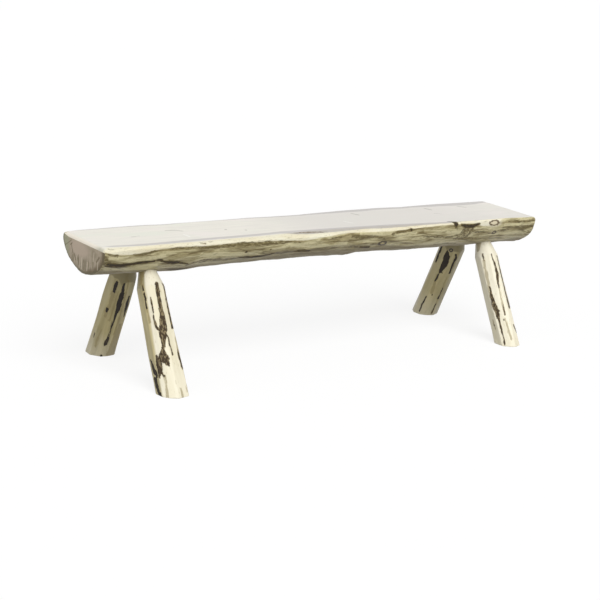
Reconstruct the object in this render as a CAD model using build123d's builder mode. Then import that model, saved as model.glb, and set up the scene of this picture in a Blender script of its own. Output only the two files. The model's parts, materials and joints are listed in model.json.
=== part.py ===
"""Rustic log bench: half a log, flat side up, on four splayed round legs.

Millimetres, +Z up. The origin is on the floor under the middle of the seat, +X runs
along the seat and -Y is its front. Each leg is a peeled pole whose top is turned down
through a cone shoulder to a round tenon. The tenon is glued in a blind mortise bored up
into the underside of the seat, and one angled screw locks it there.
"""

import os
from math import cos, pi, radians, sin, tan
from typing import NamedTuple

from build123d import *

# ---------------------------------------------------------------- seat: half a log
seat_length = 1829.0  # along the longest line of the seat
seat_height = 457.0  # floor to the sawn flat top
log_reach = 142.0  # middle line to either side, half way along
log_depth = 111.0  # flat top to the lowest line, half way along
wane_width = 46.0  # how far the flat stops short of the front, half way along
wane_fall = 15.0  # how far the fullest line of the front lies below the flat there
fullness = 0.58  # of each flank: 0.55 is a quarter ellipse, more is squarer
end_skew = 4.1  # degrees that the right end is out of square
end_spare = 25.0  # rough log past each end before it is sawn to length
top_spare = 3.0  # rough log above the saw cut
long_arris = 10.0  # easing along the back edge of the top
end_arris = 4.0  # easing round both sawn ends


class LogStation(NamedTuple):
    """How the log has grown at one place, each size as a share of the one half way."""

    back_reach: float
    front_reach: float
    depth: float
    wane_width: float
    wane_fall: float


# from the left end to the right, closest together near the ends
LOG = (
    LogStation(0.94, 0.97, 0.955, 0.26, 0.60),
    LogStation(0.97, 0.97, 0.960, 0.30, 0.67),
    LogStation(1.035, 0.98, 0.973, 0.35, 0.73),
    LogStation(0.985, 0.985, 0.986, 0.57, 0.80),
    LogStation(1.00, 1.00, 1.000, 1.00, 1.00),
    LogStation(1.12, 1.005, 1.018, 0.50, 0.80),
    LogStation(1.105, 1.015, 1.032, 0.22, 0.60),
    LogStation(1.07, 1.02, 1.041, 0.20, 0.60),
    LogStation(1.05, 1.02, 1.045, 0.20, 0.60),
)

# ---------------------------------------------------------------- legs: peeled poles
leg_setback = 192.0  # seat's end to a leg's middle, at the hip
hip_drop = 127.0  # flat top to the hip, where a leg's upper sizes are taken
hip_reach = 79.0  # seat's middle line to a leg's middle, at the hip
foot_reach = 238.0  # the same at the floor
hip_radius = 44.0
foot_radius = 48.0
side_count = 11  # drawknife flats round a leg
facet_round = 12.0  # rounding between the flats
foot_easing = 3.0  # rounding round the sawn foot
tenon_diameter = 50.8
tenon_length = 62.0  # from where the leg's middle line enters the seat
tenon_lead = 3.0  # chamfer on the tenon's end
shoulder_length = 62.0  # along the leg, from the full pole to the tenon
shoulder_sink = 6.0  # how far the shoulder beds into the seat
tenon_fit = 0.2  # clearance all round the tenon and its shoulder
glue_room = 3.0  # past the tenon's end in the mortise


class Leg(NamedTuple):
    """One pole: its corner, its lean, and its sizes as shares of the usual ones."""

    name: str
    end: int  # -1 at the left end, +1 at the right
    side: int  # -1 at the front, +1 at the back
    lean: float  # degrees that it runs out towards the seat's end
    setback: float
    hip_reach: float
    foot_reach: float
    hip_girth: float
    foot_girth: float
    turn: float  # degrees that its flats are turned


LEGS = (
    Leg("front_left_leg", -1, -1, -0.95, 1.02, 0.975, 1.017, 1.00, 1.06, 9.0),
    Leg("back_left_leg", -1, 1, -0.87, 1.025, 1.00, 1.00, 0.99, 1.04, 23.0),
    Leg("front_right_leg", 1, -1, 2.35, 0.975, 0.985, 0.996, 0.965, 0.93, 2.0),
    Leg("back_right_leg", 1, 1, 1.65, 0.977, 1.06, 0.98, 1.07, 0.98, 17.0),
)

# ---------------------------------------------------------------- tenon screws
screw_length = 63.5
screw_radius = 2.4
screw_head_radius = 4.7
screw_head_angle = 90.0  # included angle of the countersunk head
screw_point = 6.0  # length of the tapered point
screw_slant = 45.0  # degrees off upright
screw_sink = 9.0  # head's face below the underside
screw_fit = 0.1  # clearance all round a screw
drive_width = 2.8  # square drive socket
drive_depth = 2.5

half_length = seat_length / 2
hip_height = seat_height - hip_drop
tenon_radius = tenon_diameter / 2
rough_length = seat_length + 2 * end_spare
station_turn = pi / (len(LOG) - 1)
head_depth = (screw_head_radius - screw_radius) / tan(radians(screw_head_angle / 2))


# ================================================================ the seat blank
def draw_log(station):
    """The log's outline at one station: two flanks, the wane and the rough top."""
    back = station.back_reach * log_reach
    front = station.front_reach * log_reach
    depth = station.depth * log_depth
    rough_top = seat_height + top_spare
    lowest = seat_height - depth
    fullest = seat_height - station.wane_fall * wane_fall
    flat_edge = station.wane_width * wane_width - front
    back_flank = Bezier(
        (back, rough_top),
        (back, seat_height - fullness * depth),
        (fullness * back, lowest),
        (0, lowest),
    )
    Bezier(
        (0, lowest),
        (-fullness * front, lowest),
        (-front, fullest - fullness * (fullest - lowest)),
        (-front, fullest),
    )
    wane = Bezier((-front, fullest), (-front, seat_height), (flat_edge, rough_top))
    Line(wane @ 1, back_flank @ 0)


with BuildPart() as seat_blank:
    for index, station in enumerate(LOG):
        place = -rough_length / 2 * cos(index * station_turn)
        with BuildSketch(Plane.YZ.offset(place)):
            with BuildLine():
                draw_log(station)
            make_face()
    loft()
    # the saw cuts: flat top, square left end, right end a little out of square
    split(bisect_by=Plane.XY.offset(seat_height), keep=Keep.BOTTOM)
    split(bisect_by=Plane.YZ.offset(-half_length), keep=Keep.TOP)
    long_point = (half_length, LOG[-1].back_reach * log_reach, 0)
    skewed_end = Plane(
        origin=long_point,
        z_dir=(cos(radians(end_skew)), -sin(radians(end_skew)), 0),
    )
    split(bisect_by=skewed_end, keep=Keep.BOTTOM)


# ================================================================ where the legs run
class LegLine(NamedTuple):
    """A leg's own planes, and how far up it the hip and the seat are."""

    across: Plane  # square to the leg at the middle of its foot, z up the leg
    lengthwise: Plane  # holds the leg's middle line: x outwards, y up the leg
    hip: float  # distances up the leg from the floor
    entry: float


class ScrewLine(NamedTuple):
    """A tenon screw's planes, at its head's face."""

    across: Plane  # z towards the point
    lengthwise: Plane  # holds the screw's middle line: x outwards, y towards the point


def lathe_plane(across):
    """The plane through a turned piece's middle line, where its half outline is drawn."""
    return Plane(origin=across.origin, x_dir=across.x_dir, z_dir=-across.y_dir)


def middle_line(line):
    """The axis that a leg or a screw is turned about."""
    return Axis(line.across.origin, line.across.z_dir)


def entry_of(start, direction):
    """Distance along a line from its start to where it enters the seat."""
    hits = seat_blank.part.find_intersection_points(Axis(start, direction))
    return min((point - start).dot(direction) for point, _ in hits)


def leg_line(leg):
    """A leg's line runs from its foot through its hip, up into the seat."""
    hip_out = half_length - leg.setback * leg_setback
    foot_out = hip_out + hip_height * tan(radians(leg.lean))
    foot = Vector(leg.end * foot_out, leg.side * leg.foot_reach * foot_reach, 0)
    hip = Vector(leg.end * hip_out, leg.side * leg.hip_reach * hip_reach, hip_height)
    across = Plane(origin=foot, x_dir=(1, 0, 0), z_dir=hip - foot)
    entry = entry_of(foot, across.z_dir)
    return LegLine(across, lathe_plane(across), (hip - foot).length, entry)


def screw_line(leg):
    """A screw starts in the underside, inboard of its leg, and crosses the tenon half way."""
    slant = radians(screw_slant)
    direction = Vector(0, leg.side * sin(slant), cos(slant))
    tenon = LEG_LINES[leg.name]
    crossing = tenon.across.origin + tenon.across.z_dir * (tenon.entry + tenon_length / 2)
    below = crossing - direction * (2 * seat_height)
    head = below + direction * (entry_of(below, direction) + screw_sink)
    across = Plane(origin=head, x_dir=(1, 0, 0), z_dir=direction)
    return ScrewLine(across, lathe_plane(across))


LEG_LINES = {leg.name: leg_line(leg) for leg in LEGS}
SCREW_LINES = {leg.name: screw_line(leg) for leg in LEGS}


# ================================================================ turned outlines
def turned_face(line, points):
    """Half of a turned piece: each point is a distance out and a distance along."""
    with BuildSketch(line.lengthwise) as outline:
        with BuildLine():
            Polyline(*points, close=True)
        make_face()
    return outline.sketch.faces()


def tenon_outline(leg, fit, past_end, widest):
    """The cone shoulder out to a widest radius, then the tenon, grown by a fit."""
    entry = LEG_LINES[leg.name].entry
    top = entry + tenon_length + past_end
    shoulder_top = entry + shoulder_sink
    cone_rise = shoulder_length / (leg.hip_girth * hip_radius - tenon_radius)
    radius = tenon_radius + fit
    return [
        (widest + fit, shoulder_top - cone_rise * (widest - tenon_radius)),
        (radius, shoulder_top),
        (radius, top - tenon_lead),
        (radius - tenon_lead, top),
        (0, top),
    ]


def screw_outline():
    """From a screw's head to its point."""
    return [
        (0, 0),
        (screw_head_radius, 0),
        (screw_radius, head_depth),
        (screw_radius, screw_length - screw_point),
        (0, screw_length),
    ]


def screw_hole_outline():
    """The same with clearance, and a pocket in the underside that lets the head in."""
    hole_radius = screw_radius + screw_fit
    pocket_radius = screw_head_radius + screw_fit
    pocket = 2 * (screw_sink + pocket_radius * tan(radians(screw_slant)))
    return [
        (0, -pocket),
        (pocket_radius, -pocket),
        (pocket_radius, 0),
        (hole_radius, head_depth),
        (hole_radius, screw_length + screw_fit),
        (0, screw_length + screw_fit),
    ]


def bore_for_screw(leg):
    """Cut a leg's screw hole from the part being built."""
    line = SCREW_LINES[leg.name]
    revolve(turned_face(line, screw_hole_outline()), middle_line(line), mode=Mode.SUBTRACT)


def bore_mortise(leg):
    """Cut a leg's blind mortise, with a cone mouth for the shoulder, from the seat."""
    line = LEG_LINES[leg.name]
    bore = tenon_outline(leg, tenon_fit, glue_room, foot_radius)
    mouth = bore[0][1]
    revolve(turned_face(line, [(0, mouth)] + bore), middle_line(line), mode=Mode.SUBTRACT)


# ================================================================ finished pieces
with BuildPart() as half_log_seat:
    add(seat_blank.part)
    top_face = half_log_seat.faces().filter_by(Axis.Z).sort_by(Axis.Z)[-1]
    fillet(top_face.edges().sort_by(Axis.Y)[-1], radius=long_arris)
    end_faces = half_log_seat.faces().filter_by(GeomType.PLANE).sort_by(Axis.X)
    fillet(end_faces[0].edges() + end_faces[-1].edges(), radius=end_arris)
    for leg in LEGS:
        bore_mortise(leg)
        bore_for_screw(leg)
half_log_seat.part.label = "half_log_seat"


def make_leg(leg):
    """A tapered, flatted pole, turned down above and sawn level below."""
    line = LEG_LINES[leg.name]
    foot_size = leg.foot_girth * foot_radius
    taper = (leg.hip_girth * hip_radius - foot_size) / line.hip
    below = -2 * foot_size
    above = line.entry + tenon_length
    with BuildPart() as pole:
        for height in (below, above):
            with BuildSketch(line.across.offset(height)) as flats:
                RegularPolygon(foot_size + taper * height, side_count, rotation=leg.turn)
                fillet(flats.vertices(), radius=facet_round)
        loft(ruled=True)
        # what the tenon cutter leaves: everything below its cone, the cone and the tenon
        widest = 2 * foot_size
        left = [(0, below), (widest, below)] + tenon_outline(leg, 0, 0, widest)
        revolve(turned_face(line, left), middle_line(line), mode=Mode.INTERSECT)
        split(bisect_by=Plane.XY, keep=Keep.TOP)
        foot = pole.faces().filter_by(Axis.Z).sort_by(Axis.Z)[0]
        fillet(foot.edges(), radius=foot_easing)
        bore_for_screw(leg)
    pole.part.label = leg.name
    return pole.part


def make_screw(leg):
    """A countersunk wood screw with a square drive."""
    line = SCREW_LINES[leg.name]
    with BuildPart() as screw:
        revolve(turned_face(line, screw_outline()), middle_line(line))
        with BuildSketch(line.across):
            Rectangle(drive_width, drive_width)
        extrude(amount=drive_depth, mode=Mode.SUBTRACT)
    screw.part.label = leg.name.replace("_leg", "_tenon_screw")
    return screw.part


pieces = [half_log_seat.part]
for leg in LEGS:
    pieces.append(make_leg(leg))
    pieces.append(make_screw(leg))

os.makedirs("parts", exist_ok=True)
for piece in pieces:
    export_step(piece, f"parts/{piece.label}.step")
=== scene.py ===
"""Looks of a rustic half-log bench: the peeled log, its four pole legs and their screws.

Metres, +Z up, in the frame's own place: +X runs along the seat and -Y is its front.
Marks on the wood are given in millimetres, along and around the piece that they are on.
"""

import json
from functools import cache
from math import cos, pi, radians, sin, tan
from typing import NamedTuple

import bmesh
import bpy
import numpy as np
from bpy.props import FloatProperty, FloatVectorProperty, IntProperty, PointerProperty
from bpy.types import Operator, Panel, PropertyGroup
from mathutils import Matrix, Vector


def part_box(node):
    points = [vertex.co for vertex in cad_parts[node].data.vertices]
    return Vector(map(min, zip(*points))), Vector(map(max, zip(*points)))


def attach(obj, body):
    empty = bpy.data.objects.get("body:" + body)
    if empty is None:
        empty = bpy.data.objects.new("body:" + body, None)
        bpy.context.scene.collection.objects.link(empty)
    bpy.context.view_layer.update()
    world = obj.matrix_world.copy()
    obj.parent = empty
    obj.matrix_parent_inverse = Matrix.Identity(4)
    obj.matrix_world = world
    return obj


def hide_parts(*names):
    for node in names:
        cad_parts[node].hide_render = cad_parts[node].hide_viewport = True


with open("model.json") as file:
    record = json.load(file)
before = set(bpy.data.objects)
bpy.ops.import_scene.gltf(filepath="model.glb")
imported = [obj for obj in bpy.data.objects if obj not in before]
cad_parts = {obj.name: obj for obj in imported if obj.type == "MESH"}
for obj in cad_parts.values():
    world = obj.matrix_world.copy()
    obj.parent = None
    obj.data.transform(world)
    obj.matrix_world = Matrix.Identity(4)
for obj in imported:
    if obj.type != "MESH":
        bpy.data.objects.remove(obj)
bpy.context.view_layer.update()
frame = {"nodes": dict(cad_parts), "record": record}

bl_info = {
    "name": "Half-Log Bench",
    "version": (1, 0, 0),
    "blender": (4, 5, 0),
    "location": "View3D > Sidebar > Bench",
    "description": "Peeled half-log seat on four splayed pole legs",
    "category": "Object",
}

MM = 0.001
SEAT_LOW, SEAT_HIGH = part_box("half_log_seat")


def paint(red, green, blue):
    """A screen colour from 0 to 255 a channel, as the linear colour that shaders take."""
    channels = (value / 255 for value in (red, green, blue))
    return tuple(c / 12.92 if c <= 0.04045 else ((c + 0.055) / 1.055) ** 2.4 for c in channels)


# ==================================================================== what a user may change
def size(name, description, default):
    return FloatProperty(
        name=name, description=description, default=default, min=0, unit="LENGTH"
    )


def amount(name, description, default):
    return FloatProperty(name=name, description=description, default=default, min=0)


def turning(name, description, degrees):
    return FloatProperty(
        name=name, description=description, default=radians(degrees), subtype="ANGLE"
    )


def colour(name, description, red, green, blue):
    return FloatVectorProperty(
        name=name,
        description=description,
        default=paint(red, green, blue),
        min=0,
        max=1,
        size=3,
        subtype="COLOR",
    )


class SeatSettings(PropertyGroup):
    left_reach: size("Left reach", "Middle line to the front, at the left end", 0.1379)
    right_reach: size("Right reach", "Middle line to the front, at the right end", 0.1449)
    left_depth: size("Left depth", "Flat top to the lowest line, at the left end", 0.1064)
    right_depth: size("Right depth", "Flat top to the lowest line, at the right end", 0.1157)
    end_easing: size("End easing", "Rounding round both sawn ends", 0.003)
    top_easing_length: size(
        "Top easing length", "Where the flat starts to round down into the left end", 0.014
    )
    top_easing_depth: size("Top easing depth", "How far it rounds down there", 0.015)
    corner_length: size("Corner length", "How far along the rounded right front corner runs", 0.012)
    corner_depth: size("Corner depth", "How far that corner is cut back", 0.006)
    end_skew: turning("End skew", "How far the right end is out of square", 3.9)
    ridge_height: size("Ridge height", "Relief of the peeled flanks", 0.0009)
    swell_height: size("Swell height", "Slow swelling of the flanks", 0.0016)
    flat_colour: colour("Flat", "Sawn top", 233, 229, 216)
    wane_colour: colour("Wane", "Sapwood between the flat and the flank", 232, 227, 203)
    # blue stain along the flat's front edge; the same colour paints shade along its back edge
    blue_stain_and_shade_colour: colour("Lilac", "Blue stain along the edges of the flat", 168, 162, 160)
    flank_light: colour("Flank, light", "Pale streaks of the peeled flank", 206, 197, 156)
    flank_middle: colour("Flank, middle", "Khaki of the peeled flank", 162, 150, 108)
    flank_dark: colour("Flank, dark", "Olive-brown streaks of the peeled flank", 106, 93, 54)
    under_colour: colour("Underside", "Grey-taupe of the underside", 166, 157, 136)
    bark_light: colour("Inner bark", "Fibres of the bark left in the hollows", 100, 86, 48)
    bark_dark: colour("Bark", "Bark at its thickest", 44, 33, 14)
    end_colour: colour("End", "Weathered end grain", 195, 180, 158)


class LegSettings(PropertyGroup):
    tenon_radius: size("Tenon radius", "Round tenon at the top of each leg", 0.0254)
    tenon_length: size("Tenon length", "From where a leg enters the seat", 0.062)
    tenon_lead: size("Tenon lead", "Chamfer on the tenon's end", 0.003)
    shoulder_length: size(
        "Shoulder length", "Along the leg, from the full pole to the tenon", 0.062
    )
    shoulder_sink: size("Shoulder sink", "How far the shoulder beds into the seat", 0.006)
    foot_easing: size("Foot easing", "Rounding round the sawn foot", 0.003)
    mortise_fit: size("Mortise fit", "Clearance round the tenon and its shoulder", 0.0002)
    bark_height: size("Bark height", "How far bark stands off the wood", 0.0008)
    flat_count: IntProperty(name="Flats", description="Drawknife flats round a leg", default=10)
    sapwood_light: colour("Sapwood, light", "Pale sapwood", 245, 239, 218)
    sapwood_dark: colour("Sapwood, dark", "Khaki streaks in the sapwood", 204, 193, 152)
    # the darker poles: their own olive tint, darkened further as painted shade
    khaki_and_shade_light: colour("Khaki, light", "The darker poles", 198, 185, 136)
    khaki_and_shade_dark: colour("Khaki, dark", "Streaks in the darker poles", 132, 120, 76)
    bark_light: colour("Inner bark", "Bark fibres left by the drawknife", 132, 118, 88)
    bark_dark: colour("Bark", "Bark left by the drawknife", 62, 50, 34)
    # bark darkened as painted shade, on the darker poles
    shaded_bark: colour("Bark, darkest", "Bark on the darker poles", 28, 20, 8)
    foot_colour: colour("Foot", "End grain under the foot", 170, 152, 120)


class ScrewSettings(PropertyGroup):
    steel_colour: colour("Steel", "Yellow zinc plating", 176, 164, 128)


class StageSettings(PropertyGroup):
    eye: FloatVectorProperty(
        name="Eye",
        description="Where the camera stands",
        default=(-2.9983, -3.9772, 1.4640),
        subtype="TRANSLATION",
        unit="LENGTH",
    )
    turn: turning("Turn", "Camera, clockwise from +Y", 36.48)
    tilt: turning("Tilt", "Camera, below level", 14.52)
    roll: turning("Roll", "Camera, about its own view", 4.16)
    lens: FloatProperty(
        name="Lens", description="Focal length on a 36 mm sensor", default=87.08, unit="CAMERA"
    )
    key: amount("Key", "Soft lamp from the front and above", 2.36)
    side: amount("Side", "Weaker lamp from the left", 0.42)
    sky: amount("Sky", "Even light from all round", 0.36)


# ==================================================================== small tools
def smooth_line(points, places):
    """Values of a smooth line through a table's points, at each place, never past them."""
    xs, ys = np.array(points, float).T
    rises = np.diff(ys) / np.diff(xs)
    slopes = np.concatenate([rises[:1], 0 * rises[1:], rises[-1:]])
    before, after = rises[:-1], rises[1:]
    level = before * after <= 0
    both = np.where(level, 1, before + after)
    slopes[1:-1] = np.where(level, 0, 2 * before * after / both)
    left = np.clip(np.searchsorted(xs, places) - 1, 0, len(xs) - 2)
    gap = xs[left + 1] - xs[left]
    share = np.clip((places - xs[left]) / gap, 0, 1)
    rise = ys[left + 1] - ys[left]
    bend = slopes[left] * (1 - share) - slopes[left + 1] * share
    return ys[left] + rise * share * share * (3 - 2 * share) + gap * bend * share * (1 - share)


LATTICE = 97  # units after which the swells repeat


def swells(first, second, seed):
    """Smooth random swells from -1 to 1, about one unit apart both ways."""
    lattice = np.random.default_rng(seed).uniform(-1, 1, (LATTICE, LATTICE))
    corner = [np.floor(first).astype(int), np.floor(second).astype(int)]
    share = [first - corner[0], second - corner[1]]
    share = [s * s * (3 - 2 * s) for s in share]
    value = 0
    for step_a, weight_a in ((0, 1 - share[0]), (1, share[0])):
        for step_b, weight_b in ((0, 1 - share[1]), (1, share[1])):
            row, column = (corner[0] + step_a) % LATTICE, (corner[1] + step_b) % LATTICE
            value = value + weight_a * weight_b * lattice[row, column]
    return value


MARK_SOFTNESS = 8  # mm over which a mark's field falls from 1 to 0


def mark_field(along, around, marks, turn=None):
    """0.5 at the edge of each mark, more inside and less outside. All in millimetres.

    A mark is a line of (along, around, half width) points. A piece that closes on itself
    gives the distance once round it as its turn.
    """
    field = np.zeros_like(along)
    for mark in marks:
        for (a0, g0, w0), (a1, g1, w1) in zip(mark, mark[1:] or mark):
            run = np.array([a1 - a0, g1 - g0])
            offset = around - g0
            if turn:
                offset = (offset + turn / 2) % turn - turn / 2
            share = ((along - a0) * run[0] + offset * run[1]) / max(run @ run, 1e-9)
            share = np.clip(share, 0, 1)
            gap = np.hypot(along - a0 - share * run[0], offset - share * run[1])
            field = np.maximum(field, 0.5 + (w0 + (w1 - w0) * share - gap) / MARK_SOFTNESS)
    return np.clip(field, 0, 1)


def start_afresh():
    """Object mode with nothing selected."""
    if bpy.context.mode != "OBJECT":
        bpy.ops.object.mode_set(mode="OBJECT")
    bpy.ops.object.select_all(action="DESELECT")


def round_blank(name, sides, ring_cuts, radius, length, easing):
    """A round blank up +Z from the origin, with eased ends and even rings between them."""
    start_afresh()
    bpy.ops.mesh.primitive_cylinder_add(
        vertices=sides, radius=radius, depth=length, location=(0, 0, length / 2)
    )
    blank = bpy.context.active_object
    blank.name = blank.data.name = name
    bpy.ops.object.transform_apply(location=True, rotation=True, scale=True)
    bpy.ops.object.mode_set(mode="EDIT")
    bpy.ops.mesh.select_mode(type="EDGE")
    select_edges(blank, lambda low, high: high - low < length / 2)
    bpy.ops.mesh.bevel(offset=easing, segments=3)
    reach = length
    for cuts in ring_cuts:
        select_edges(blank, lambda low, high: high - low > reach / 2)
        bpy.ops.mesh.subdivide(number_cuts=cuts)
        reach = reach / (cuts + 1)
    bpy.ops.object.mode_set(mode="OBJECT")
    return blank


def select_edges(piece, wanted):
    """In edit mode, selects the edges whose lowest and highest ends are as wanted."""
    bpy.ops.mesh.select_all(action="DESELECT")
    shape = bmesh.from_edit_mesh(piece.data)
    for edge in shape.edges:
        heights = sorted(vert.co.z for vert in edge.verts)
        edge.select_set(wanted(*heights))
    bmesh.update_edit_mesh(piece.data)


def corners_of(piece):
    """A mesh's corners, as rows of x, y, z."""
    rows = np.zeros(len(piece.data.vertices) * 3, np.float32)
    piece.data.vertices.foreach_get("co", rows)
    return rows.reshape(-1, 3).astype(float)


def blank_corners(blank, radius, length, easing, rings):
    """For each corner of a round blank: how many turns it lies round it from +X, how far in
    from the radius, how high, and on which ring."""
    rows = corners_of(blank)
    turns = np.arctan2(rows[:, 1], rows[:, 0]) / (2 * pi)
    inset = radius - np.hypot(rows[:, 0], rows[:, 1])
    height = rows[:, 2]
    share = np.clip((height - easing) / (length - 2 * easing), 0, 1)
    return turns, inset, height, np.rint(share * rings).astype(int)


def place_corners(piece, rows):
    piece.data.vertices.foreach_set("co", np.asarray(rows, np.float32).ravel())
    piece.data.update()


def store(piece, name, values):
    """Keeps a value at each corner, for a material to read."""
    values = np.asarray(values, np.float32)
    kind = "FLOAT_VECTOR" if values.ndim == 2 else "FLOAT"
    field = "vector" if values.ndim == 2 else "value"
    piece.data.attributes.new(name, kind, "POINT").data.foreach_set(field, values.ravel())


SMOOTH_BELOW = radians(38)  # edges sharper than this stay crisp


def finish_piece(piece, body, node):
    """Smooths a finished piece and ties it to the frame."""
    start_afresh()
    piece.select_set(True)
    bpy.context.view_layer.objects.active = piece
    bpy.ops.object.shade_smooth_by_angle(angle=SMOOTH_BELOW)
    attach(piece, body)
    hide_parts(node)


def turned(name, outline, sides, line):
    """A turned solid on a line: each outline point is a radius and a place along it."""
    start_afresh()
    radius, height = outline[0]
    bpy.ops.mesh.primitive_circle_add(
        vertices=sides, radius=radius, fill_type="NGON", location=(0, 0, height)
    )
    piece = bpy.context.active_object
    piece.name = piece.data.name = name
    bpy.ops.object.transform_apply(location=True, rotation=True, scale=True)
    bpy.ops.object.mode_set(mode="EDIT")
    bpy.ops.mesh.select_all(action="SELECT")
    for new_radius, new_height in outline[1:]:
        rise = (0, 0, new_height - height)
        bpy.ops.mesh.extrude_region_move(TRANSFORM_OT_translate={"value": rise})
        growth = new_radius / radius
        centre = (0, 0, new_height)
        bpy.ops.transform.resize(value=(growth, growth, 1), center_override=centre)
        radius, height = new_radius, new_height
    bpy.ops.mesh.select_all(action="SELECT")
    bpy.ops.mesh.normals_make_consistent(inside=False)
    bpy.ops.object.mode_set(mode="OBJECT")
    rows = (line.out, line.across, line.up)
    piece.data.transform(Matrix.Translation(line.start) @ Matrix(rows).transposed().to_4x4())
    piece.data.update()
    return piece


def cut_away(piece, cutters):
    """Cuts every cutter from a piece, and deletes the cutters."""
    start_afresh()
    bpy.context.view_layer.objects.active = piece
    for cutter in cutters:
        cut = piece.modifiers.new("Cut", "BOOLEAN")
        cut.operation = "DIFFERENCE"
        cut.solver = "EXACT"
        cut.object = cutter
        bpy.ops.object.modifier_apply(modifier=cut.name)
        bpy.data.objects.remove(cutter)


# ==================================================================== where the legs run
class Pole(NamedTuple):
    """One leg's own looks: radii at the floor and 330 mm up, a seed for its flats, and
    how much olive tint and painted shade it takes, all round and more on its left side,
    from 0 to 1. The tint is the wood's own; the shade is painted: the seat's shade over
    the back poles, and the shade down the front-left pole's left side."""

    node: str
    foot_radius: float
    hip_radius: float
    seed: int
    khaki_and_shade: float
    left_shade: float


# the last two columns: olive tint with painted shade, all round on the back poles and down the left
# side of the front-left one
POLES = (
    Pole("front_left_leg", 0.0509, 0.0440, 11, 0.0, 0.9),
    Pole("back_left_leg", 0.0499, 0.0436, 12, 1.0, 0.0),
    Pole("front_right_leg", 0.0446, 0.0425, 13, 0.0, 0.0),
    Pole("back_right_leg", 0.0470, 0.0471, 14, 0.95, 0.0),
)
LEFT_SIDE = 28  # degrees either way of -X that a left side's painted shade covers, 200 mm up
LEFT_WIDENING = 45  # degrees a metre by which it widens up the leg
LEFT_FADE = 8  # degrees over which it fades
PALE_FOOT = 0.13  # the height over which a darker pole turns paler to its foot
FOOT_LOSS = 0.55  # share of its olive tint and painted shade that it loses there
HIP_HEIGHT = 0.330


class Axle(NamedTuple):
    """The middle line of a leg or a screw, with its own three directions."""

    start: Vector
    out: Vector
    across: Vector
    up: Vector
    length: float


def axle(start, end):
    """From start to end, with its outward direction as near +X as it goes."""
    up = (end - start).normalized()
    out = Vector((1, 0, 0))
    out = (out - up * out.dot(up)).normalized()
    return Axle(start, out, up.cross(out), up, (end - start).length)


def farthest_ring(node, start):
    """The middle of the corners of a CAD node that lie farthest from a point."""
    offsets = [vert.co - start for vert in frame["nodes"][node].data.vertices]
    reach = max(offset.length for offset in offsets)
    ring = [offset for offset in offsets if offset.length > reach - 0.5 * MM]
    low = [min(offset[i] for offset in ring) for i in range(3)]
    high = [max(offset[i] for offset in ring) for i in range(3)]
    return start + (Vector(low) + Vector(high)) / 2


def leg_axle(node):
    """From the middle of a leg's foot to the middle of its tenon's end."""
    mounts = {mount["name"]: mount["pos_m"] for mount in frame["record"]["mounts"]}
    foot = Vector(mounts[node.replace("_leg", "_foot")])
    return axle(foot, farthest_ring(node, foot))


def on_axle(line, along, angle, radius):
    """Rows of points on a round piece, from distances along, angles round and radii."""
    out, across, up = (np.array(v) for v in (line.out, line.across, line.up))
    round_it = np.cos(angle)[:, None] * out + np.sin(angle)[:, None] * across
    return np.array(line.start) + along[:, None] * up + radius[:, None] * round_it


# ==================================================================== the half-log seat
# (x, y) in millimetres: edges of the sawn flat, seen from above
BACK_EDGE = (
    (-914, 131), (-885, 138), (-861, 141), (-817, 142), (-773, 143), (-727, 145.5),
    (-660, 146.5), (-614, 146), (-572, 140.5), (-540, 138), (-490, 140.5), (-400, 141),
    (-345, 142), (-250, 144.5), (-200, 147), (-140, 143), (-84, 141), (0, 140), (40, 144),
    (100, 149), (160, 152.5), (224, 158.5), (290, 158.5), (366, 160.5), (448, 155),
    (490, 149.5), (535, 153), (590, 155.5), (660, 158), (716, 156), (778, 155),
    (837, 152.5), (880, 154), (915, 150),
)
FLAT_EDGE = (
    (-914, -105), (-880, -111), (-742, -126), (-523, -119), (-336, -114), (-207, -103),
    (-37, -94), (190, -104), (443, -128), (500, -134), (600, -137), (700, -137),
    (740, -136), (787, -140), (832, -147), (870, -151), (915, -151),
)
# (x, how much fuller than the straight line between both ends) in millimetres: the front
FRONT_FLARE = (
    (-914, 3.6), (-885, 1.5), (-850, 0), (740, 0), (790, 2), (850, 9), (885, 15), (915, 20),
)
# (x, how much lower than usual) in millimetres: the lowest line of the log
HANG = (
    (-914, 1), (-895, 0.5), (-870, 0), (-840, 1.5), (-700, 3.5), (-650, 6), (-610, 8),
    (-572, 7.5), (-530, 4), (-452, 0.5), (-300, -2.5), (-200, -3), (-40, -3), (48, -0.5),
    (70, 2), (92, -1), (125, -4.4), (165, -3.5), (234, -1.5), (340, 2.1), (665, 3.1),
    (860, 3), (900, 4.5), (915, 5),
)
# (how far the flat stops short, how far the fullest line lies below it) in millimetres
WANE_FALL = ((0, 4), (4, 7), (12, 9), (20, 11), (45, 16))
# (x, power): a plain quarter ellipse is 1, and less is squarer
FRONT_POWER = ((-914, 1.03), (-870, 0.96), (-800, 0.93), (760, 0.93), (850, 1.0), (915, 1.0))
BACK_POWER = ((-914, 1.1), (-840, 1.06), (-640, 0.95), (-500, 0.93), (915, 0.93))
# (x, radius) in millimetres: the rounding between the flat and the back
ARRIS = ((-914, 16), (-880, 12), (-840, 7), (-800, 6), (915, 6))
ARRIS_PAST_EDGE = 0.75  # share of that radius by which the log's back lies past the flat
LEAST_WANE = 3 * MM

ARRIS_SPANS, FLAT_SPANS, WANE_SPANS, FRONT_SPANS, BACK_SPANS = 5, 52, 13, 50, 42
SEAT_SIDES = ARRIS_SPANS + FLAT_SPANS + WANE_SPANS + FRONT_SPANS + BACK_SPANS
SEAT_BLANK = 0.14  # radius of the blank that the log is shaped from
SEAT_CUTS = (4, 89)
SEAT_RINGS = (SEAT_CUTS[0] + 1) * (SEAT_CUTS[1] + 1)


def quarter(spans):
    return np.arange(spans) / spans * pi / 2


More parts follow.
